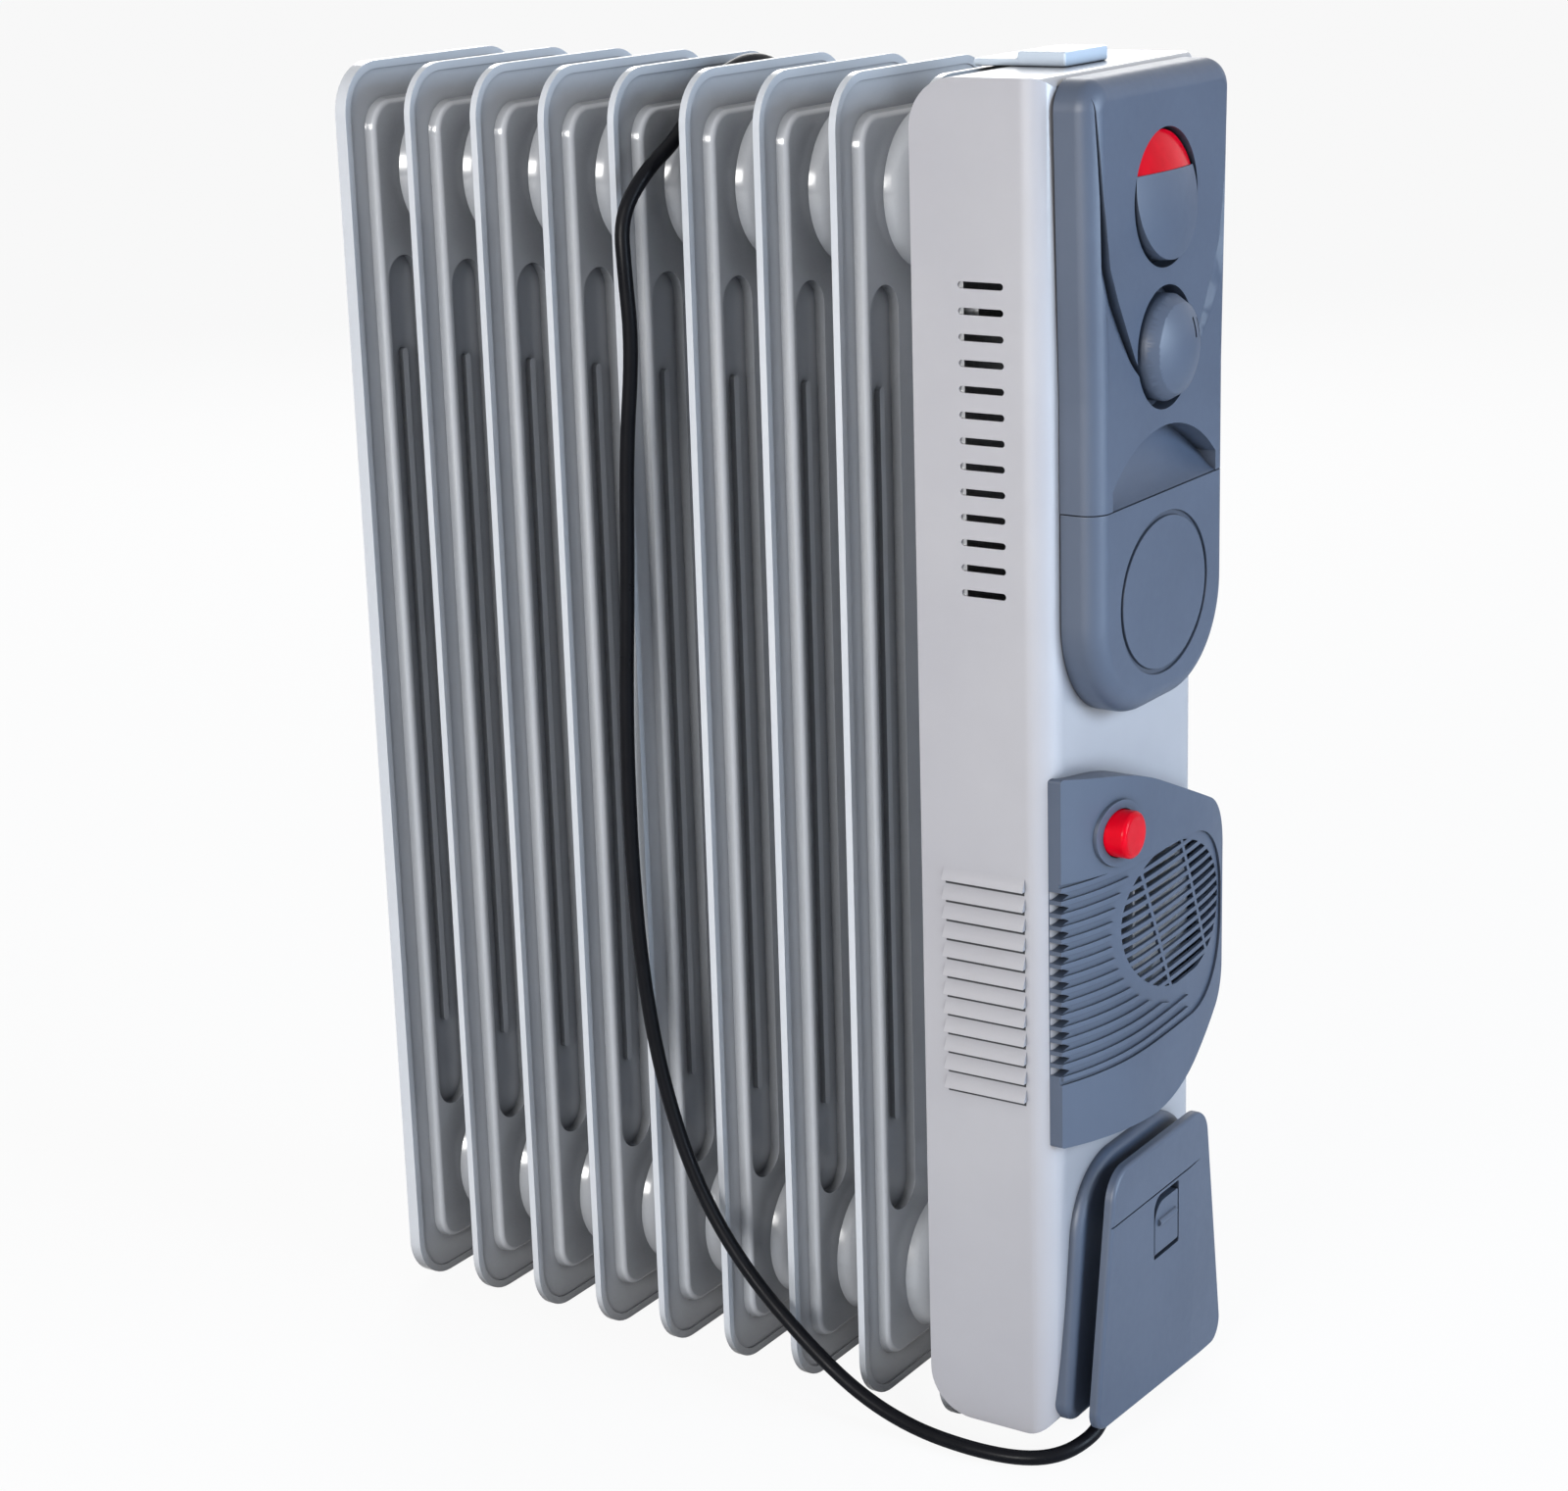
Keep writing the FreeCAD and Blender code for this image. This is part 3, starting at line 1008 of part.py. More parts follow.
def make_ptc():
    """Ceramic heating grid in front of the impeller, hung on two tabs."""
    x0 = X_FRONT - HOUSING_T
    half = PTC_HALF
    grid = box(x0, x0 + PTC_D, GRILLE_Y - half, GRILLE_Y + half, GRILLE_Z - half, GRILLE_Z + half)
    rows = 8
    pitch = (2 * half - 2) / rows
    gaps = [box(x0 - 1, x0 + PTC_D + 1, GRILLE_Y - half + 2, GRILLE_Y + half - 2,
                GRILLE_Z - half + 2 + i * pitch, GRILLE_Z - half + i * pitch + pitch) for i in range(rows)]
    grid = cut_all(grid, gaps)
    for sign in (-1, 1):
        z0, z1 = sorted((GRILLE_Z + sign * (half - 1), GRILLE_Z + sign * (half + PTC_TAB)))
        grid = grid.fuse(box(X_FRONT, X_FRONT + 1.5, GRILLE_Y - 6, GRILLE_Y + 6, z0, z1))
    save("ptc_heater", grid)


# ---------------------------------------------------------------- cord spool
def trapezoid(low_w, top_w, left_z, right_z, top_z, radius):
    """Corners of the spool's base or cover, narrower at the top."""
    return [(-low_w / 2, left_z, COVER_LOW_R), (low_w / 2, right_z, COVER_LOW_R),
            (top_w / 2, top_z, radius), (-top_w / 2, top_z, radius)]


def make_spool():
    base = prism_x(trapezoid(BASE_LOW_W, BASE_TOP_W, BASE_LOW_Z, BASE_LOW_Z, BASE_TOP_Z, BASE_R),
                   X_FRONT - HOUSING_EDGE_R * 0.4, X_BASE)
    base = base.makeFillet(BASE_EDGE_R, [e for e in base.Edges if e.BoundBox.XMin > X_BASE - EPS])
    core = plate(-CORE_W / 2, CORE_W / 2, CORE_LOW_Z, CORE_TOP_Z, CORE_R, X_BASE - 1, X_COVER)
    socket = box(X_BASE - 1, X_COVER, GLAND_Y, GLAND_Y + 14, GLAND_Z - 8, CORE_LOW_Z + 4)
    start = V(X_GLAND, GLAND_Y, GLAND_Z)
    grip = Part.makeCylinder(SLEEVE_R, SLEEVE_GRIP + 4, start - GLAND_WAY * SLEEVE_GRIP, GLAND_WAY)
    spool = fuse([base.cut(housing_block(0)), core, socket])
    y0 = LATCH_Y - LATCH_W / 2 - LATCH_GAP
    y1 = LATCH_Y + LATCH_W / 2 + LATCH_GAP
    room = box(X_COVER - LATCH_ROOM, X_COVER + 1, y0, y1, LATCH_LOW_Z - LATCH_GAP, CORE_TOP_Z + 1)
    save("cord_spool", cut_all(spool, [grip, room]))
    sleeve = Part.makeCylinder(SLEEVE_R, SLEEVE_GRIP, start - GLAND_WAY * SLEEVE_GRIP, GLAND_WAY)
    taper = Part.makeCone(SLEEVE_R, SLEEVE_TIP_R, SLEEVE_L, start, GLAND_WAY)
    save("strain_relief", sleeve.fuse(taper))


def latch_form(y0, y1, z0, z1, tip_r, x0, x1):
    """Prism with one wide upper left corner."""
    return prism_x([(y0, z0, LATCH_R), (y1, z0, LATCH_R), (y1, z1, LATCH_R), (y0, z1, tip_r)], x0, x1)


def make_cover():
    x1 = X_COVER + COVER_T
    cover = prism_x(trapezoid(COVER_LOW_W, COVER_TOP_W, HOUSING_Z0 + COVER_LEFT_RISE,
                              HOUSING_Z0 + COVER_RIGHT_RISE, COVER_TOP_Z, COVER_R), X_COVER, x1)
    cover = cover.makeFillet(COVER_EDGE_R, [e for e in cover.Edges if e.BoundBox.XMin > x1 - EPS])
    slope = box(x1, x1 + 10, COVER_FOLD_Y, COVER_LOW_W, 0, BASE_TOP_Z)
    slope.rotate(V(x1, COVER_FOLD_Y, 0), V(0, 0, 1), COVER_FOLD)
    seam = box(x1 - COVER_SEAM, x1 + 1, -COVER_LOW_W, COVER_LOW_W,
               COVER_SEAM_Z - COVER_SEAM / 2, COVER_SEAM_Z + COVER_SEAM / 2)
    cover = cut_all(cover, [slope, seam])
    y0 = LATCH_Y - LATCH_W / 2
    y1 = LATCH_Y + LATCH_W / 2
    top = LATCH_LOW_Z + LATCH_H
    window = latch_form(y0 - LATCH_GAP, y1 + LATCH_GAP, LATCH_LOW_Z - LATCH_GAP, top + LATCH_MOUTH,
                        LATCH_MOUTH_R, X_COVER - 1, x1 + 1)
    pin_x = X_COVER + COVER_T / 2
    pin_z = LATCH_LOW_Z + COVER_T / 2
    reach = LATCH_GAP + 3
    bore = rod_y(y0 - reach, y1 + reach, pin_x, pin_z, LATCH_PIN_R + SHAFT_CLEARANCE)
    save("cord_cover", cut_all(cover, [window, bore]))
    tongue = latch_form(y0, y1, pin_z, top, LATCH_TIP_R, X_COVER, x1)
    heel = rod_y(y0, y1, pin_x, pin_z, COVER_T / 2)
    tongue = fuse([tongue, heel, box(X_COVER, x1, y0, y1, pin_z, pin_z + 8)])
    grip = rod_y(y0 + 3, y1 - 3, x1, top - LATCH_TIP_R, 1.6)
    pin = rod_y(y0 - reach + 0.3, y1 + reach - 0.3, pin_x, pin_z, LATCH_PIN_R)
    save("cover_latch", fuse([tongue, grip, pin]))


# ---------------------------------------------------------------- small electrical pieces
def make_electrics():
    low = FAN_LOW_Z - 30
    block = box(X_SHIELD, X_SHIELD + 14, -30, 30, low, low + 14)
    wells = [rod(X_SHIELD + 6, X_SHIELD + 15, -24 + 12 * i, low + 7, 2.5) for i in range(5)]
    save("terminal_block", cut_all(block, wells))
    z = (FAN_TOP_Z + PANEL_LOW_Z) / 2
    cutout = rod(X_SHIELD, X_SHIELD + 7, 0, z, 9.0)
    tabs = [box(X_SHIELD + 6, X_SHIELD + 15, dy - 3, dy + 3, z - 0.4, z + 0.4) for dy in (-5, 5)]
    save("thermal_cutout", fuse([cutout] + tabs))
    y1 = HOUSING_W / 2 - TILT_SWITCH_SIDE
    z0 = BOSS_Z + TILT_SWITCH_RISE
    save("tilt_switch", box(X_SHIELD, X_SHIELD + TILT_SWITCH_D, y1 - TILT_SWITCH_W, y1,
                            z0, z0 + TILT_SWITCH_H))


# ---------------------------------------------------------------- cord
# Centre line of the free stretch, from the strain relief over the row of fins and down
# behind it, as chosen by hand.  X is from the housing's rear rim.
ROUTE = [(70.2, -37.6, 15.2), (70.2, -50.7, 9.1), (63.3, -65.0, 5.0), (49.5, -74.6, 3.8),
         (24.9, -77.4, 3.5), (-6.1, -75.2, 4.6), (-35.1, -73.4, 13.6), (-64.1, -72.4, 33.0),
         (-94.1, -72.8, 61.0), (-117.1, -72.4, 95.0), (-132.6, -72.0, 138.0),
         (-141.1, -72.6, 188.0), (-144.6, -72.2, 246.0), (-143.6, -72.8, 308.0),
         (-140.1, -72.2, 368.0), (-137.6, -72.6, 424.0), (-131.6, -73.4, 468.0),
         (-132.9, -74.8, 500.0), (-135.1, -73.0, 522.0), (-130.1, -62.0, 539.0),
         (-127.9, -42.0, 550.0), (-128.0, -20.0, 567.0), (-127.8, 6.0, 578.6),
         (-128.1, 32.0, 577.4), (-128.5, 56.0, 561.0), (-129.3, 72.0, 533.0),
         (-130.5, 79.0, 492.0), (-132.1, 80.5, 430.0), (-133.1, 79.2, 362.0),
         (-134.3, 80.4, 292.0), (-135.1, 79.4, 222.0), (-134.3, 80.8, 156.0),
         (-132.1, 82.2, 100.0), (-128.1, 87.0, 58.0), (-119.1, 96.5, 28.0),
         (-103.1, 106.0, 9.5), (-79.1, 112.6, 4.4), (-57.1, 114.1, 4.3), (-42.1, 114.0, 4.3)]
COIL_Y = 150.0
COIL_X = X_REAR - 29.1
TAIL_TURN = 34.0         # length of each run from the coil to the plug


def runs_and_arcs(points):
    """Straight runs joined by tangent arcs, and the radius of each arc."""
    points = [V(*p) for p in points]
    edges = []
    radii = []
    at = points[0]
    for before, corner, after in zip(points, points[1:], points[2:]):
        short = min(before.distanceToPoint(corner), corner.distanceToPoint(after))
        turn = math.pi - (before - corner).getAngle(after - corner)
        radius = 0.45 * short / math.tan(turn / 2)
        start, middle, end = corner_arc(before, corner, after, radius)
        edges.append(Part.LineSegment(at, start).toShape())
        edges.append(Part.Arc(start, middle, end).toShape())
        radii.append(radius)
        at = end
    edges.append(Part.LineSegment(at, points[-1]).toShape())
    return Part.Wire(edges), radii


def cord_tube(name, points):
    wire, radii = runs_and_arcs(points)
    along = V(*points[1]) - V(*points[0])
    ring = Part.Wire([Part.Circle(V(*points[0]), along, CORD_D / 2).toShape()])
    tube_shape = wire.makePipeShell([ring], True, False)
    expected = math.pi * CORD_D ** 2 / 4 * wire.Length
    print("%s: length %.0f, volume %.5f of section x length, least radii %s" % (
        name, wire.Length, tube_shape.Volume / expected, [round(r) for r in sorted(radii)[:6]]))
    save(name, tube_shape)
    return wire.Length


def make_cord():
    free = cord_tube("cord", [(X_REAR + x, y, z) for x, y, z in ROUTE])
    pitch = CORD_D + COIL_AIR
    high = TIE_T + CORD_D + COIL_TURNS * pitch
    half = CORD_D / 2 + COIL_AIR
    ring = rod_z(COIL_X, COIL_Y, TIE_T, high, COIL_MEAN_R + half)
    ring = ring.cut(rod_z(COIL_X, COIL_Y, 0, high + 1, COIL_MEAN_R - half))
    save("cord_coil", ring)
    tie_x = COIL_X + COIL_MEAN_R
    reach = half + TIE_T
    band = box(tie_x - reach, tie_x + reach, COIL_Y - TIE_W / 2, COIL_Y + TIE_W / 2, 0, high + TIE_T)
    save("coil_tie", band.cut(ring))
    turns = 2 * math.pi * COIL_MEAN_R * COIL_TURNS
    top = TIE_T + CORD_D / 2 + COIL_TURNS * pitch
    start = V(COIL_X + 10, COIL_Y + COIL_MEAN_R, top)
    tail = [(start.x, start.y, start.z)]
    for i in range(1, TAIL_RUNS + 1):
        sway = 1.2 if i % 2 else -0.4
        tail.append((start.x - i * TAIL_TURN, start.y + sway, start.z + (PLUG_R - start.z) * i / TAIL_RUNS))
    rest = cord_tube("cord_tail", tail)
    print("cord length %.0f" % (free + turns + rest + SLEEVE_L))
    make_plug(V(*tail[-1]))


def rod_z(x, y, z0, z1, radius):
    return Part.makeCylinder(radius, z1 - z0, V(x, y, z0))


def make_plug(at):
    """Straight round plug lying on the floor, its pins along -X."""
    way = V(-1, 0, 0)
    neck = Part.makeCone(CORD_D / 2 + 1.5, PLUG_NECK_R, PLUG_NECK_L, at, way)
    waist = at + way * PLUG_NECK_L
    grip = Part.makeCone(PLUG_NECK_R, PLUG_R, PLUG_GRIP_L, waist, way)
    shoulder = waist + way * PLUG_GRIP_L
    body = Part.makeCylinder(PLUG_R, PLUG_BODY_L, shoulder, way)
    face = shoulder + way * PLUG_BODY_L
    sockets = []
    for i, sign in enumerate((-1, 1)):
        root = face + V(PIN_ROOT, sign * PIN_SPACING / 2, 0)
        pin = Part.makeCylinder(PIN_R, PIN_L + PIN_ROOT, root, way)
        sockets.append(pin)
        save("plug_pin_%d" % (i + 1), pin)
    save("plug_body", cut_all(fuse([neck, grip, body]), sockets))


make_fins()
make_elements()
make_housing()
make_cap()
make_panels()
make_rocker()
make_thermostat()
make_fan_panel()
make_fan_button()
make_fan()
make_ptc()
make_spool()
make_cover()
make_electrics()
make_cord()
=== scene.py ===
"""Looks of the oil filled radiator heater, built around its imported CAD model.

Row frame, metres: +Z up, +X along the fins towards the control housing, origin on the floor.
"""

import json
import math

import bmesh
import bpy
from mathutils import Matrix, Vector


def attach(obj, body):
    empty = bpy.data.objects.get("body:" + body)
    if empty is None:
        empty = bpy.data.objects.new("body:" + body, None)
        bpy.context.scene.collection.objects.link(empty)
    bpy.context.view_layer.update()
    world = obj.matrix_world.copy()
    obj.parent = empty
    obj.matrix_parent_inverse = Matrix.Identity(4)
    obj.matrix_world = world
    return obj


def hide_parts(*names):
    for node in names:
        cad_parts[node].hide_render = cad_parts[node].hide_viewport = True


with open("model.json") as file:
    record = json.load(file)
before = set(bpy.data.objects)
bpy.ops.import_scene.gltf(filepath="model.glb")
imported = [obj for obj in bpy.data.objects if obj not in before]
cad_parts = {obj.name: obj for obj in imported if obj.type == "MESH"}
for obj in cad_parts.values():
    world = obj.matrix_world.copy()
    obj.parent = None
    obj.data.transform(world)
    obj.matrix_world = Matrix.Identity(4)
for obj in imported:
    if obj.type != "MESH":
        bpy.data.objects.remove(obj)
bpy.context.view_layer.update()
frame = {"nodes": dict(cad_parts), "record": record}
NODES = frame["nodes"]
SCENE = bpy.context.scene
MM = 0.001


# ---------------------------------------------------------------- node material helpers
class Shader:
    """A new node material, with short ways to add and join its nodes."""

    def __init__(self, name):
        self.material = bpy.data.materials.new(name)
        self.material.use_nodes = True
        self.tree = self.material.node_tree
        self.bsdf = self.tree.nodes["Principled BSDF"]
        self.coords = self.tree.nodes.new("ShaderNodeTexCoord").outputs["Object"]

    def add(self, kind, **values):
        """A node whose attributes or input sockets are set by name."""
        node = self.tree.nodes.new("ShaderNode" + kind)
        for key, value in values.items():
            if hasattr(node, key):
                setattr(node, key, value)
            else:
                self.put(node.inputs[key.replace("_", " ")], value)
        return node

    def put(self, socket, value):
        """Link another node's output to a socket, or set the socket's own value."""
        if isinstance(value, bpy.types.NodeSocket):
            self.tree.links.new(value, socket)
        else:
            socket.default_value = value

    def set(self, **values):
        """Sockets of the Principled shader."""
        for key, value in values.items():
            self.put(self.bsdf.inputs[key.replace("_", " ")], value)

    def stretched(self, x, y, z):
        """Object coordinates scaled along each axis."""
        node = self.add("Mapping", Vector=self.coords)
        node.inputs["Scale"].default_value = (x, y, z)
        return node.outputs["Vector"]

    def noise(self, scale, detail=3.0, roughness=0.55, coords=None):
        """Noise from 0 to 1 in object coordinates."""
        node = self.add("TexNoise", Scale=scale, Detail=detail, Roughness=roughness,
                        Vector=coords or self.coords)
        return node.outputs["Fac"]

    def span(self, factor, low, high, start=0.0, end=1.0):
        """Map a factor from start..end to low..high, clamped."""
        node = self.add("MapRange", Value=factor)
        for key, value in (("From Min", start), ("From Max", end),
                           ("To Min", low), ("To Max", high)):
            node.inputs[key].default_value = value
        return node.outputs["Result"]

    def mix(self, factor, a, b):
        """Colour that goes from a to b as the factor goes from 0 to 1."""
        node = self.add("Mix", data_type="RGBA")
        self.put(node.inputs[0], factor)
        self.put(node.inputs[6], a)
        self.put(node.inputs[7], b)
        return node.outputs[2]

    def hollow_shaded(self, base, hollow_shade, reach):
        """Base colour darkened towards a shade colour where the surface is closed in within the
        reach: painted shade.
        """
        # Painted shade: ambient occlusion darkens the colour in hollows, grooves and between
        # close parts.
        node = self.add("AmbientOcclusion", samples=HOLLOW_SHADE_SAMPLES, Distance=reach)
        unshaded = self.span(node.outputs["AO"], 1 - HOLLOW_SHADE_SHARE, 1.0, HOLLOW_SHADE_FULL, HOLLOW_SHADE_NONE)
        return self.mix(unshaded, hollow_shade, base)

    def math(self, operation, a, b):
        """Result of a Math node."""
        node = self.add("Math", operation=operation)
        self.put(node.inputs[0], a)
        self.put(node.inputs[1], b)
        return node.outputs[0]

    def bump(self, height, distance, strength):
        """Normal for a height map, its full height a distance in metres."""
        node = self.add("Bump", Height=height, Distance=distance, Strength=strength)
        return node.outputs["Normal"]


def colour(r, g, b):
    """Linear colour of an sRGB one given from 0 to 255."""
    return tuple(((c / 255 + 0.055) / 1.055) ** 2.4 if c > 10 else c / 255 / 12.92
                 for c in (r, g, b)) + (1.0,)


# ---------------------------------------------------------------- materials
# Painted shade in hollows and between close parts: how much of the colour it takes, and between
# which openness values it fades in.
HOLLOW_SHADE_SAMPLES = 8
HOLLOW_SHADE_SHARE = 0.9
HOLLOW_SHADE_FULL = 0.2
HOLLOW_SHADE_NONE = 0.95

# Colour of the painted shade, and how near a surface must be to close another in.
PLASTIC_HOLLOW_SHADE = colour(20, 23, 30)
PLASTIC_REACH = 4.5 * MM
FIN_HOLLOW_SHADE = colour(32, 34, 35)
FIN_REACH = 30 * MM
HOUSING_HOLLOW_SHADE = colour(60, 61, 66)
HOUSING_REACH = 9 * MM

# Heights of the fine relief, metres.
PEEL = 0.06 * MM
SPARK_GRAIN = 0.05 * MM
LENS_GRAIN = 0.03 * MM
RUBBER_GRAIN = 0.08 * MM
STREAK_DEPTH = 0.03 * MM


def enamel(name, base, shade, gloss, hollow_shade, reach):
    """Sprayed enamel on sheet steel: orange peel, slight cloudiness and a clear top."""
    s = Shader(name)
    cloud = s.noise(9.0, 4.0)
    paint = s.mix(s.span(cloud, 0, 1, 0.35, 0.65), base, shade)
    # Painted shade in hollows and between close parts, laid over the two paint tones.
    s.set(Base_Color=s.hollow_shaded(paint, hollow_shade, reach))
    s.set(Roughness=s.span(s.noise(60.0, 5.0), gloss - 0.05, gloss + 0.07))
    peel = s.noise(420.0, 2.0)
    s.set(Normal=s.bump(peel, PEEL, 0.3), Coat_Weight=0.8, Coat_Roughness=0.16)
    return s.material


def moulded(name, base, shade, roughness):
    """Moulded plastic with a fine spark-eroded grain and faint flow clouds."""
    s = Shader(name)
    cloud = s.noise(14.0, 5.0)
    plain = s.mix(s.span(cloud, 0, 1, 0.35, 0.68), base, shade)
    # Painted shade in hollows and between close parts, laid over the two plastic tones.
    s.set(Base_Color=s.hollow_shaded(plain, PLASTIC_HOLLOW_SHADE, PLASTIC_REACH))
    s.set(Roughness=s.span(s.noise(220.0, 4.0), roughness - 0.05, roughness + 0.06))
    fine = s.noise(1900.0, 2.0, 0.7)
    s.set(Normal=s.bump(fine, SPARK_GRAIN, 0.5), IOR=1.5)
    return s.material


def red_plastic(name):
    """Deep red plastic with clouded colour and a soft gloss."""
    s = Shader(name)
    cloud = s.span(s.noise(60.0), 0, 1, 0.3, 0.7)
    s.set(Base_Color=s.mix(cloud, colour(214, 0, 30), colour(186, 0, 22)))
    s.set(Roughness=s.span(s.noise(240.0), 0.16, 0.26), Specular_IOR_Level=0.12, IOR=1.45)
    s.set(Normal=s.bump(s.noise(700.0), LENS_GRAIN, 0.4))
    return s.material


def rubber(name, base, shade):
    """Black flexible lead: fine matte grain, with duller stretches."""
    s = Shader(name)
    s.set(Base_Color=s.mix(s.noise(45.0, 4.0), base, shade))
    s.set(Roughness=s.span(s.noise(80.0, 5.0), 0.24, 0.5, 0.3, 0.7))
    s.set(Normal=s.bump(s.noise(1300.0), RUBBER_GRAIN, 0.5), Specular_IOR_Level=0.1)
    return s.material


def drawn_steel(name, base, shade, roughness):
    """Bare or plated metal with streaks along Z."""
    s = Shader(name)
    streak = s.noise(1.0, 4.0, coords=s.stretched(900.0, 900.0, 40.0))
    s.set(Base_Color=s.mix(streak, base, shade), Metallic=1.0)
    s.set(Roughness=s.span(streak, roughness - 0.07, roughness + 0.1))
    s.set(Normal=s.bump(streak, STREAK_DEPTH, 0.4))
    return s.material


def make_materials():
    """One material for each slot of the record: two tones, and how rough it is."""
    made = {
        # For the enamels, the last two values give the colour and reach of the painted shade in
        # hollows.
        "fin_enamel": enamel("fin_enamel", colour(199, 202, 208), colour(192, 196, 203), 0.2,
                             FIN_HOLLOW_SHADE, FIN_REACH),
        "housing_enamel": enamel("housing_enamel", colour(168, 167, 172),
                                 colour(162, 161, 167), 0.38, HOUSING_HOLLOW_SHADE, HOUSING_REACH),
        "red_plastic": red_plastic("red_plastic"),
        "black_rubber": rubber("black_rubber", colour(9, 9, 12), colour(15, 16, 21)),
    }
    plastics = {
        "white_plastic": (colour(196, 208, 222), colour(188, 201, 216), 0.32),
        "grey_plastic": (colour(74, 84, 102), colour(68, 78, 96), 0.44),
        "black_plastic": (colour(34, 34, 37), colour(28, 28, 31), 0.5),
    }
    metals = {
        "bare_steel": (colour(186, 187, 189), colour(160, 161, 164), 0.32),
        "plated_pin": (colour(214, 212, 205), colour(196, 194, 188), 0.2),
        "bare_aluminium": (colour(198, 200, 203), colour(176, 178, 182), 0.4),
    }
    made.update({name: moulded(name, *look) for name, look in plastics.items()})
    made.update({name: drawn_steel(name, *look) for name, look in metals.items()})
    return made


# ---------------------------------------------------------------- finish of the CAD nodes
def clean_normals(angle):
    """Geometry nodes that shade smoothly and keep edges sharper than angle."""
    group = bpy.data.node_groups.new("clean_normals", "GeometryNodeTree")
    group.interface.new_socket("Geometry", in_out="INPUT", socket_type="NodeSocketGeometry")
    group.interface.new_socket("Geometry", in_out="OUTPUT", socket_type="NodeSocketGeometry")
    source = group.nodes.new("NodeGroupInput")
    target = group.nodes.new("NodeGroupOutput")
    turn = group.nodes.new("GeometryNodeInputMeshEdgeAngle")
    sharp = group.nodes.new("FunctionNodeCompare")
    sharp.data_type = "FLOAT"
    sharp.operation = "GREATER_THAN"
    sharp.inputs["B"].default_value = angle
    normals = group.nodes.new("GeometryNodeSetMeshNormal")
    normals.mode = "SHARPNESS"
    group.links.new(source.outputs[0], normals.inputs["Mesh"])
    group.links.new(turn.outputs["Unsigned Angle"], sharp.inputs["A"])
    group.links.new(sharp.outputs["Result"], normals.inputs["Edge Sharpness"])
    group.links.new(normals.outputs[0], target.inputs[0])
    return group


# Rounding of outer edges in millimetres, by a node's name or its name's first word.
BEVELS = {"fin": 0.30, "housing_shell": 0.45, "top_cap": 1.2, "control_panel": 0.5,
          "badge_cover": 0.5, "rocker_pad": 0.7, "rocker_lens": 0.4,
          "thermostat_knob": 0.4, "fan_panel": 0.45, "button_bezel": 0.5,
          "fan_button": 0.4, "cord_spool": 0.5, "cord_cover": 0.4, "cover_latch": 0.4,
          "strain_relief": 0.3, "coil_tie": 0.3, "plug_body": 0.8,
          "plug_pin_1": 0.5, "plug_pin_2": 0.5}

BEVEL_SEGMENTS = 2
BEVEL_ANGLE = math.radians(38)
SHARP_ANGLE = math.radians(32)
COPLANAR_ANGLE = math.radians(0.5)
WELD_REACH = 0.01 * MM
FLATS_WEIGHT = 100


def finish_node(name, material, normals):
    """Material, small edge rounding and clean shading on a CAD node."""
    node = NODES[name]
    node.data.materials.clear()
    node.data.materials.append(material)
    weld = node.modifiers.new("weld", "WELD")
    weld.merge_threshold = WELD_REACH
    width = BEVELS.get(name, BEVELS.get(name.split("_")[0]))
    if width:
        flat = node.modifiers.new("flat", "DECIMATE")
        flat.decimate_type = "DISSOLVE"
        flat.angle_limit = COPLANAR_ANGLE
        bevel = node.modifiers.new("round", "BEVEL")
        bevel.width = width * MM
        bevel.segments = BEVEL_SEGMENTS
        bevel.limit_method = "ANGLE"
        bevel.angle_limit = BEVEL_ANGLE
        bevel.use_clamp_overlap = True
    shade = node.modifiers.new("normals", "NODES")
    shade.node_group = normals
    level = node.modifiers.new("level", "WEIGHTED_NORMAL")
    level.mode = "FACE_AREA"
    level.weight = FLATS_WEIGHT
    level.keep_sharp = True


def finish_nodes(materials):
    """Every node of the frame, each with the material of its slot."""
    normals = clean_normals(SHARP_ANGLE)
    for part in frame["record"]["subparts"]:
        finish_node(part["node"], materials[part["material_slot"]], normals)


# ---------------------------------------------------------------- cord
# Lengths are in millimetres.
CORD_D = 6.4
X_REAR = 103.1
COIL_X = X_REAR - 29.1
COIL_Y = 150.0
COIL_MEAN_R = 36.0
COIL_TURNS = 2.5
COIL_LOW_Z = 4.3
COIL_PITCH = 6.6
COIL_START = math.radians(-90)
TURN_POINTS = 16
TAIL_END = (X_REAR - 121.3, 186.8, 18.5)
TAIL_SWAYS = (0.9, -0.3, 0.9, 0.0)

# Control points of the cord; X is from the housing's rear rim.
ROUTE = [(70.2, -33.1, 17.3), (70.2, -42.0, 13.2), (70.2, -50.7, 9.1),
         (63.3, -65.0, 5.0), (49.5, -74.6, 3.8), (24.9, -77.4, 3.5),
         (-6.1, -75.2, 4.6), (-35.1, -73.4, 13.6), (-64.1, -72.4, 33.0),
         (-94.1, -72.8, 61.0), (-117.1, -72.4, 95.0), (-132.6, -72.0, 138.0),
         (-141.1, -72.6, 188.0), (-144.6, -72.2, 246.0), (-143.6, -72.8, 308.0),
         (-140.1, -72.2, 368.0), (-137.6, -72.6, 424.0), (-131.6, -73.4, 468.0),
         (-132.9, -74.8, 500.0), (-135.1, -73.0, 522.0), (-130.1, -62.0, 539.0),
         (-127.9, -42.0, 550.0), (-128.0, -20.0, 567.0), (-127.8, 6.0, 578.6),
         (-128.1, 32.0, 577.4), (-128.5, 56.0, 561.0), (-129.3, 72.0, 533.0),
         (-130.5, 79.0, 492.0), (-132.1, 80.5, 430.0), (-133.1, 79.2, 362.0),
         (-134.3, 80.4, 292.0), (-135.1, 79.4, 222.0), (-134.3, 80.8, 156.0),
         (-132.1, 82.2, 100.0), (-128.1, 87.0, 58.0), (-119.1, 96.5, 28.0),
         (-103.1, 106.0, 9.5), (-79.1, 112.6, 4.4), (-57.1, 114.1, 4.3),
         (-42.1, 114.0, 4.3)]


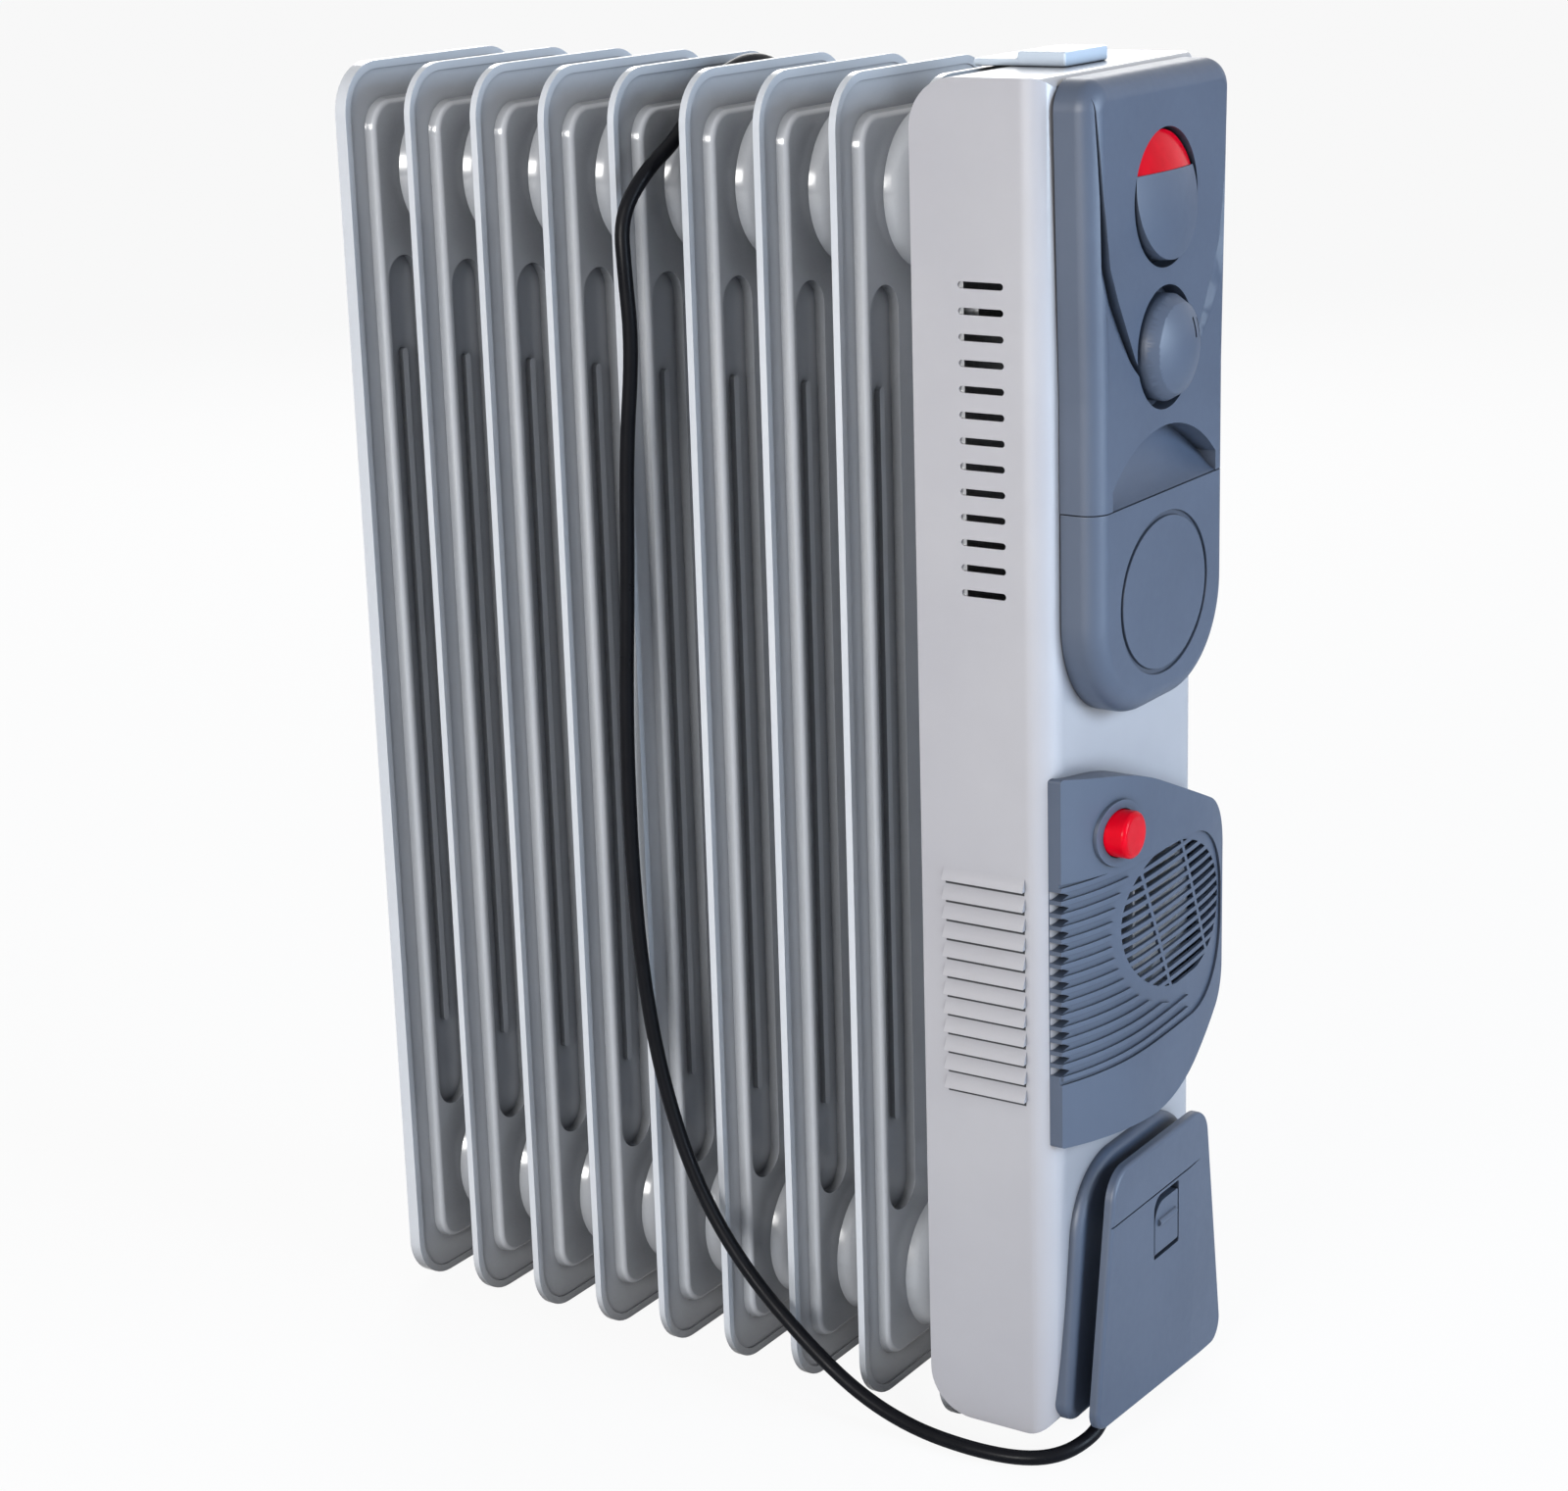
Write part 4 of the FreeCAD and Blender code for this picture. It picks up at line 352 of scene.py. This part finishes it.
def coil_points():
    """Rising turns of the stored length, from below the cord's arrival to its way out."""
    count = int(TURN_POINTS * COIL_TURNS)
    points = []
    for i in range(count + 1):
        turned = i / TURN_POINTS
        angle = COIL_START + 2 * math.pi * turned
        points.append((COIL_X + COIL_MEAN_R * math.cos(angle),
                       COIL_Y + COIL_MEAN_R * math.sin(angle),
                       COIL_LOW_Z + COIL_PITCH * turned))
    return points


def tail_points(start):
    """From the coil's way out to the plug's neck, with a small sway at each point between."""
    points = []
    for i, sway in enumerate(TAIL_SWAYS, 1):
        share = i / len(TAIL_SWAYS)
        x, y, z = (a + (b - a) * share for a, b in zip(start, TAIL_END))
        points.append((x, y + sway, z))
    return points


def make_cord(material):
    """The lead from its strain relief to the plug, as one smooth spline."""
    turns = coil_points()
    points = [(X_REAR + x, y, z) for x, y, z in ROUTE] + turns + tail_points(turns[-1])
    curve = bpy.data.curves.new("mains_cord", "CURVE")
    curve.dimensions = "3D"
    spline = curve.splines.new("NURBS")
    spline.points.add(len(points) - 1)
    for point, place in zip(spline.points, points):
        point.co = (*[c * MM for c in place], 1.0)
    spline.order_u = 3
    spline.use_endpoint_u = True
    spline.resolution_u = 6
    curve.bevel_depth = CORD_D / 2 * MM
    curve.bevel_resolution = 5
    curve.use_fill_caps = True
    curve.materials.append(material)
    cord = bpy.data.objects.new("mains_cord", curve)
    SCENE.collection.objects.link(cord)
    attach(cord, "heater")
    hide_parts("cord", "cord_coil", "cord_tail")


# ---------------------------------------------------------------- louvres' painted shadows
# Lengths are in millimetres.
LOUVRE_COUNT = 12
LOUVRE_TOP_Z = 261.6
LOUVRE_PITCH = 8.34
LOUVRE_H = 5.4
LOUVRE_PROUD = 2.6
LOUVRE_T = 0.6
LOUVRE_X0 = X_REAR + 10.5
LOUVRE_X1 = LOUVRE_X0 + 38.0
WALL_Y = 66.75
SLIT_SHADOW_H = 1.9
SLIT_SHADOW_SKIN = 0.12
SLIT_SHADOW_BACK_GAP = 0.8
HOOD_EDGE_GAP = 0.05
MOUTH_SHADOW_SUNK = 0.3
MOUTH_SHADOW_T = 0.8
MOUTH_SHADOW_GAP = 0.2
MOUTH_SHADOW_TOP_GAP = 1.1


def prism(mesh, outline, along):
    """A closed prism: an outline pushed along a vector."""
    near = [mesh.verts.new(Vector(p) * MM) for p in outline]
    far = [mesh.verts.new((Vector(p) + Vector(along)) * MM) for p in outline]
    mesh.faces.new(near[::-1])
    mesh.faces.new(far)
    for i, corner in enumerate(near):
        j = (i + 1) % len(near)
        mesh.faces.new((corner, near[j], far[j], far[i]))


def make_louvre_shadow_strips(material):
    """Painted shadow as dark sheets: a strip over each pressed hood's real cut and the wall
    below it, and a plate across the hood's open front end.
    """
    mesh = bmesh.new()
    for sign in (-1, 1):
        wall = sign * WALL_Y
        skin = wall + sign * SLIT_SHADOW_SKIN
        inner = wall + sign * (LOUVRE_PROUD - LOUVRE_T - MOUTH_SHADOW_GAP)
        x0 = LOUVRE_X0 + SLIT_SHADOW_BACK_GAP
        x1 = LOUVRE_X1 - MOUTH_SHADOW_SUNK
        for i in range(LOUVRE_COUNT):
            top = LOUVRE_TOP_Z - i * LOUVRE_PITCH
            low = top - LOUVRE_H
            below = low - HOOD_EDGE_GAP
            above = low + HOOD_EDGE_GAP
            # Dark strip: painted shadow over the real cut under the hood and on the wall
            # beneath it. Dark plate: painted shadow across the hood's open end.
            slit_shadow = [(x0, wall, below), (x0, wall, low - SLIT_SHADOW_H),
                    (x1, wall, low - SLIT_SHADOW_H), (x1, wall, below)]
            mouth_shadow = [(x1, wall, top - MOUTH_SHADOW_TOP_GAP), (x1, wall, above), (x1, inner, above)]
            prism(mesh, slit_shadow, (0, skin - wall, 0))
            prism(mesh, mouth_shadow, (-MOUTH_SHADOW_T, 0, 0))
    bmesh.ops.recalc_face_normals(mesh, faces=mesh.faces)
    data = bpy.data.meshes.new("louvre_shadow_strips")
    mesh.to_mesh(data)
    mesh.free()
    data.materials.append(material)
    piece = bpy.data.objects.new("louvre_shadow_strips", data)
    SCENE.collection.objects.link(piece)
    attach(piece, "heater")


# ---------------------------------------------------------------- stage
# Lengths are in metres.
FLOOR_SIZE = 30
FLOOR_DROP = 0.4 * MM
# Share of plain white in the floor that the camera sees; the rest is the lit floor.
FLOOR_GLOW = 0.92
FILL_STRENGTH = 0.18
FILL_TINT = (0.95, 0.97, 1.0, 1.0)
WHITE = (1.0, 1.0, 1.0, 1.0)


def make_floor():
    """Pale floor that keeps a soft shadow and is nearly white for the camera."""
    bpy.ops.mesh.primitive_plane_add(size=FLOOR_SIZE, location=(0, 0, -FLOOR_DROP))
    floor = bpy.context.object
    floor.name = "floor"
    s = Shader("floor")
    s.set(Base_Color=(0.86, 0.86, 0.87, 1.0), Roughness=0.9)
    glow = s.add("Emission", Color=WHITE, Strength=1.0)
    seen = s.add("LightPath").outputs["Is Camera Ray"]
    mixed = s.add("MixShader", Fac=s.math("MULTIPLY", seen, FLOOR_GLOW))
    s.tree.links.new(s.bsdf.outputs[0], mixed.inputs[1])
    s.tree.links.new(glow.outputs[0], mixed.inputs[2])
    output = s.tree.nodes["Material Output"]
    s.tree.links.new(mixed.outputs[0], output.inputs["Surface"])
    floor.data.materials.append(s.material)


def make_world():
    """Even studio light, white where the camera or a reflection sees it."""
    world = bpy.data.worlds.new("studio")
    SCENE.world = world
    world.use_nodes = True
    tree = world.node_tree
    light = tree.nodes["Background"]
    light.inputs["Color"].default_value = FILL_TINT
    light.inputs["Strength"].default_value = FILL_STRENGTH
    white = tree.nodes.new("ShaderNodeBackground")
    white.inputs["Color"].default_value = WHITE
    white.inputs["Strength"].default_value = 1.0
    path = tree.nodes.new("ShaderNodeLightPath")
    mixed = tree.nodes.new("ShaderNodeMixShader")
    shown = tree.nodes.new("ShaderNodeMath")
    shown.operation = "ADD"
    mirrored = tree.nodes.new("ShaderNodeMath")
    mirrored.operation = "ADD"
    mirrored.use_clamp = True
    tree.links.new(path.outputs["Is Camera Ray"], shown.inputs[0])
    tree.links.new(path.outputs["Is Glossy Ray"], shown.inputs[1])
    tree.links.new(shown.outputs[0], mirrored.inputs[0])
    tree.links.new(path.outputs["Is Transmission Ray"], mirrored.inputs[1])
    tree.links.new(mirrored.outputs[0], mixed.inputs[0])
    tree.links.new(light.outputs[0], mixed.inputs[1])
    tree.links.new(white.outputs[0], mixed.inputs[2])
    tree.links.new(mixed.outputs[0], tree.nodes["World Output"].inputs["Surface"])


# Lamps: name, place, what each points at, width and height, watts, tint.
LAMPS = [
    ("key", (0.2, -3.2, 1.15), (0, 0, 0.3), (1.5, 0.8), 91.0, (1.0, 0.985, 0.96)),
    ("front", (2.3, 0.1, 0.85), (0.1, 0, 0.22), (1.0, 1.2), 56.0, (0.66, 0.82, 1.0)),
    ("back", (-1.4, 2.0, 1.5), (0, 0, 0.3), (1.6, 1.2), 26.0, (1.0, 1.0, 1.0)),
]


def area_light(name, place, target, size, power, tint):
    """A soft rectangular lamp, pointed at a target."""
    data = bpy.data.lights.new(name, "AREA")
    data.shape = "RECTANGLE"
    data.size, data.size_y = size
    data.energy = power
    data.color = tint
    lamp = bpy.data.objects.new(name, data)
    SCENE.collection.objects.link(lamp)
    lamp.location = place
    lamp.rotation_mode = "QUATERNION"
    lamp.rotation_quaternion = (Vector(target) - Vector(place)).to_track_quat("-Z", "Y")


# The place is in metres, the lens and the sensor's width in millimetres.
CAMERA_PLACE = Vector((0.7622, -1.166, 0.6857))
CAMERA_AZIMUTH = math.radians(33.43)
CAMERA_ELEVATION = math.radians(16.21)
CAMERA_ROLL = math.radians(-1.75)
CAMERA_LENS = 74.84
CAMERA_SENSOR = 36.0


def make_camera():
    """The viewing angle of the heater's picture, without shift or depth of field."""
    level = math.cos(CAMERA_ELEVATION)
    back = Vector((math.sin(CAMERA_AZIMUTH) * level, -math.cos(CAMERA_AZIMUTH) * level,
                   math.sin(CAMERA_ELEVATION)))
    right = (-back).cross(Vector((0, 0, 1))).normalized()
    up = right.cross(-back)
    across = right * math.cos(CAMERA_ROLL) + up * math.sin(CAMERA_ROLL)
    upright = up * math.cos(CAMERA_ROLL) - right * math.sin(CAMERA_ROLL)
    turn = Matrix((across, upright, back)).transposed().to_4x4()
    data = bpy.data.cameras.new("camera")
    data.sensor_width = CAMERA_SENSOR
    data.sensor_fit = "HORIZONTAL"
    data.lens = CAMERA_LENS
    camera = bpy.data.objects.new("camera", data)
    SCENE.collection.objects.link(camera)
    camera.matrix_world = Matrix.Translation(CAMERA_PLACE) @ turn
    SCENE.camera = camera


SCENE.view_settings.view_transform = "Standard"
MATERIALS = make_materials()
finish_nodes(MATERIALS)
make_cord(MATERIALS["black_rubber"])
# Dark sheets as painted shadow under and at the ends of the louvre hoods.
make_louvre_shadow_strips(MATERIALS["black_plastic"])
make_floor()
make_world()
for lamp in LAMPS:
    area_light(*lamp)
make_camera()
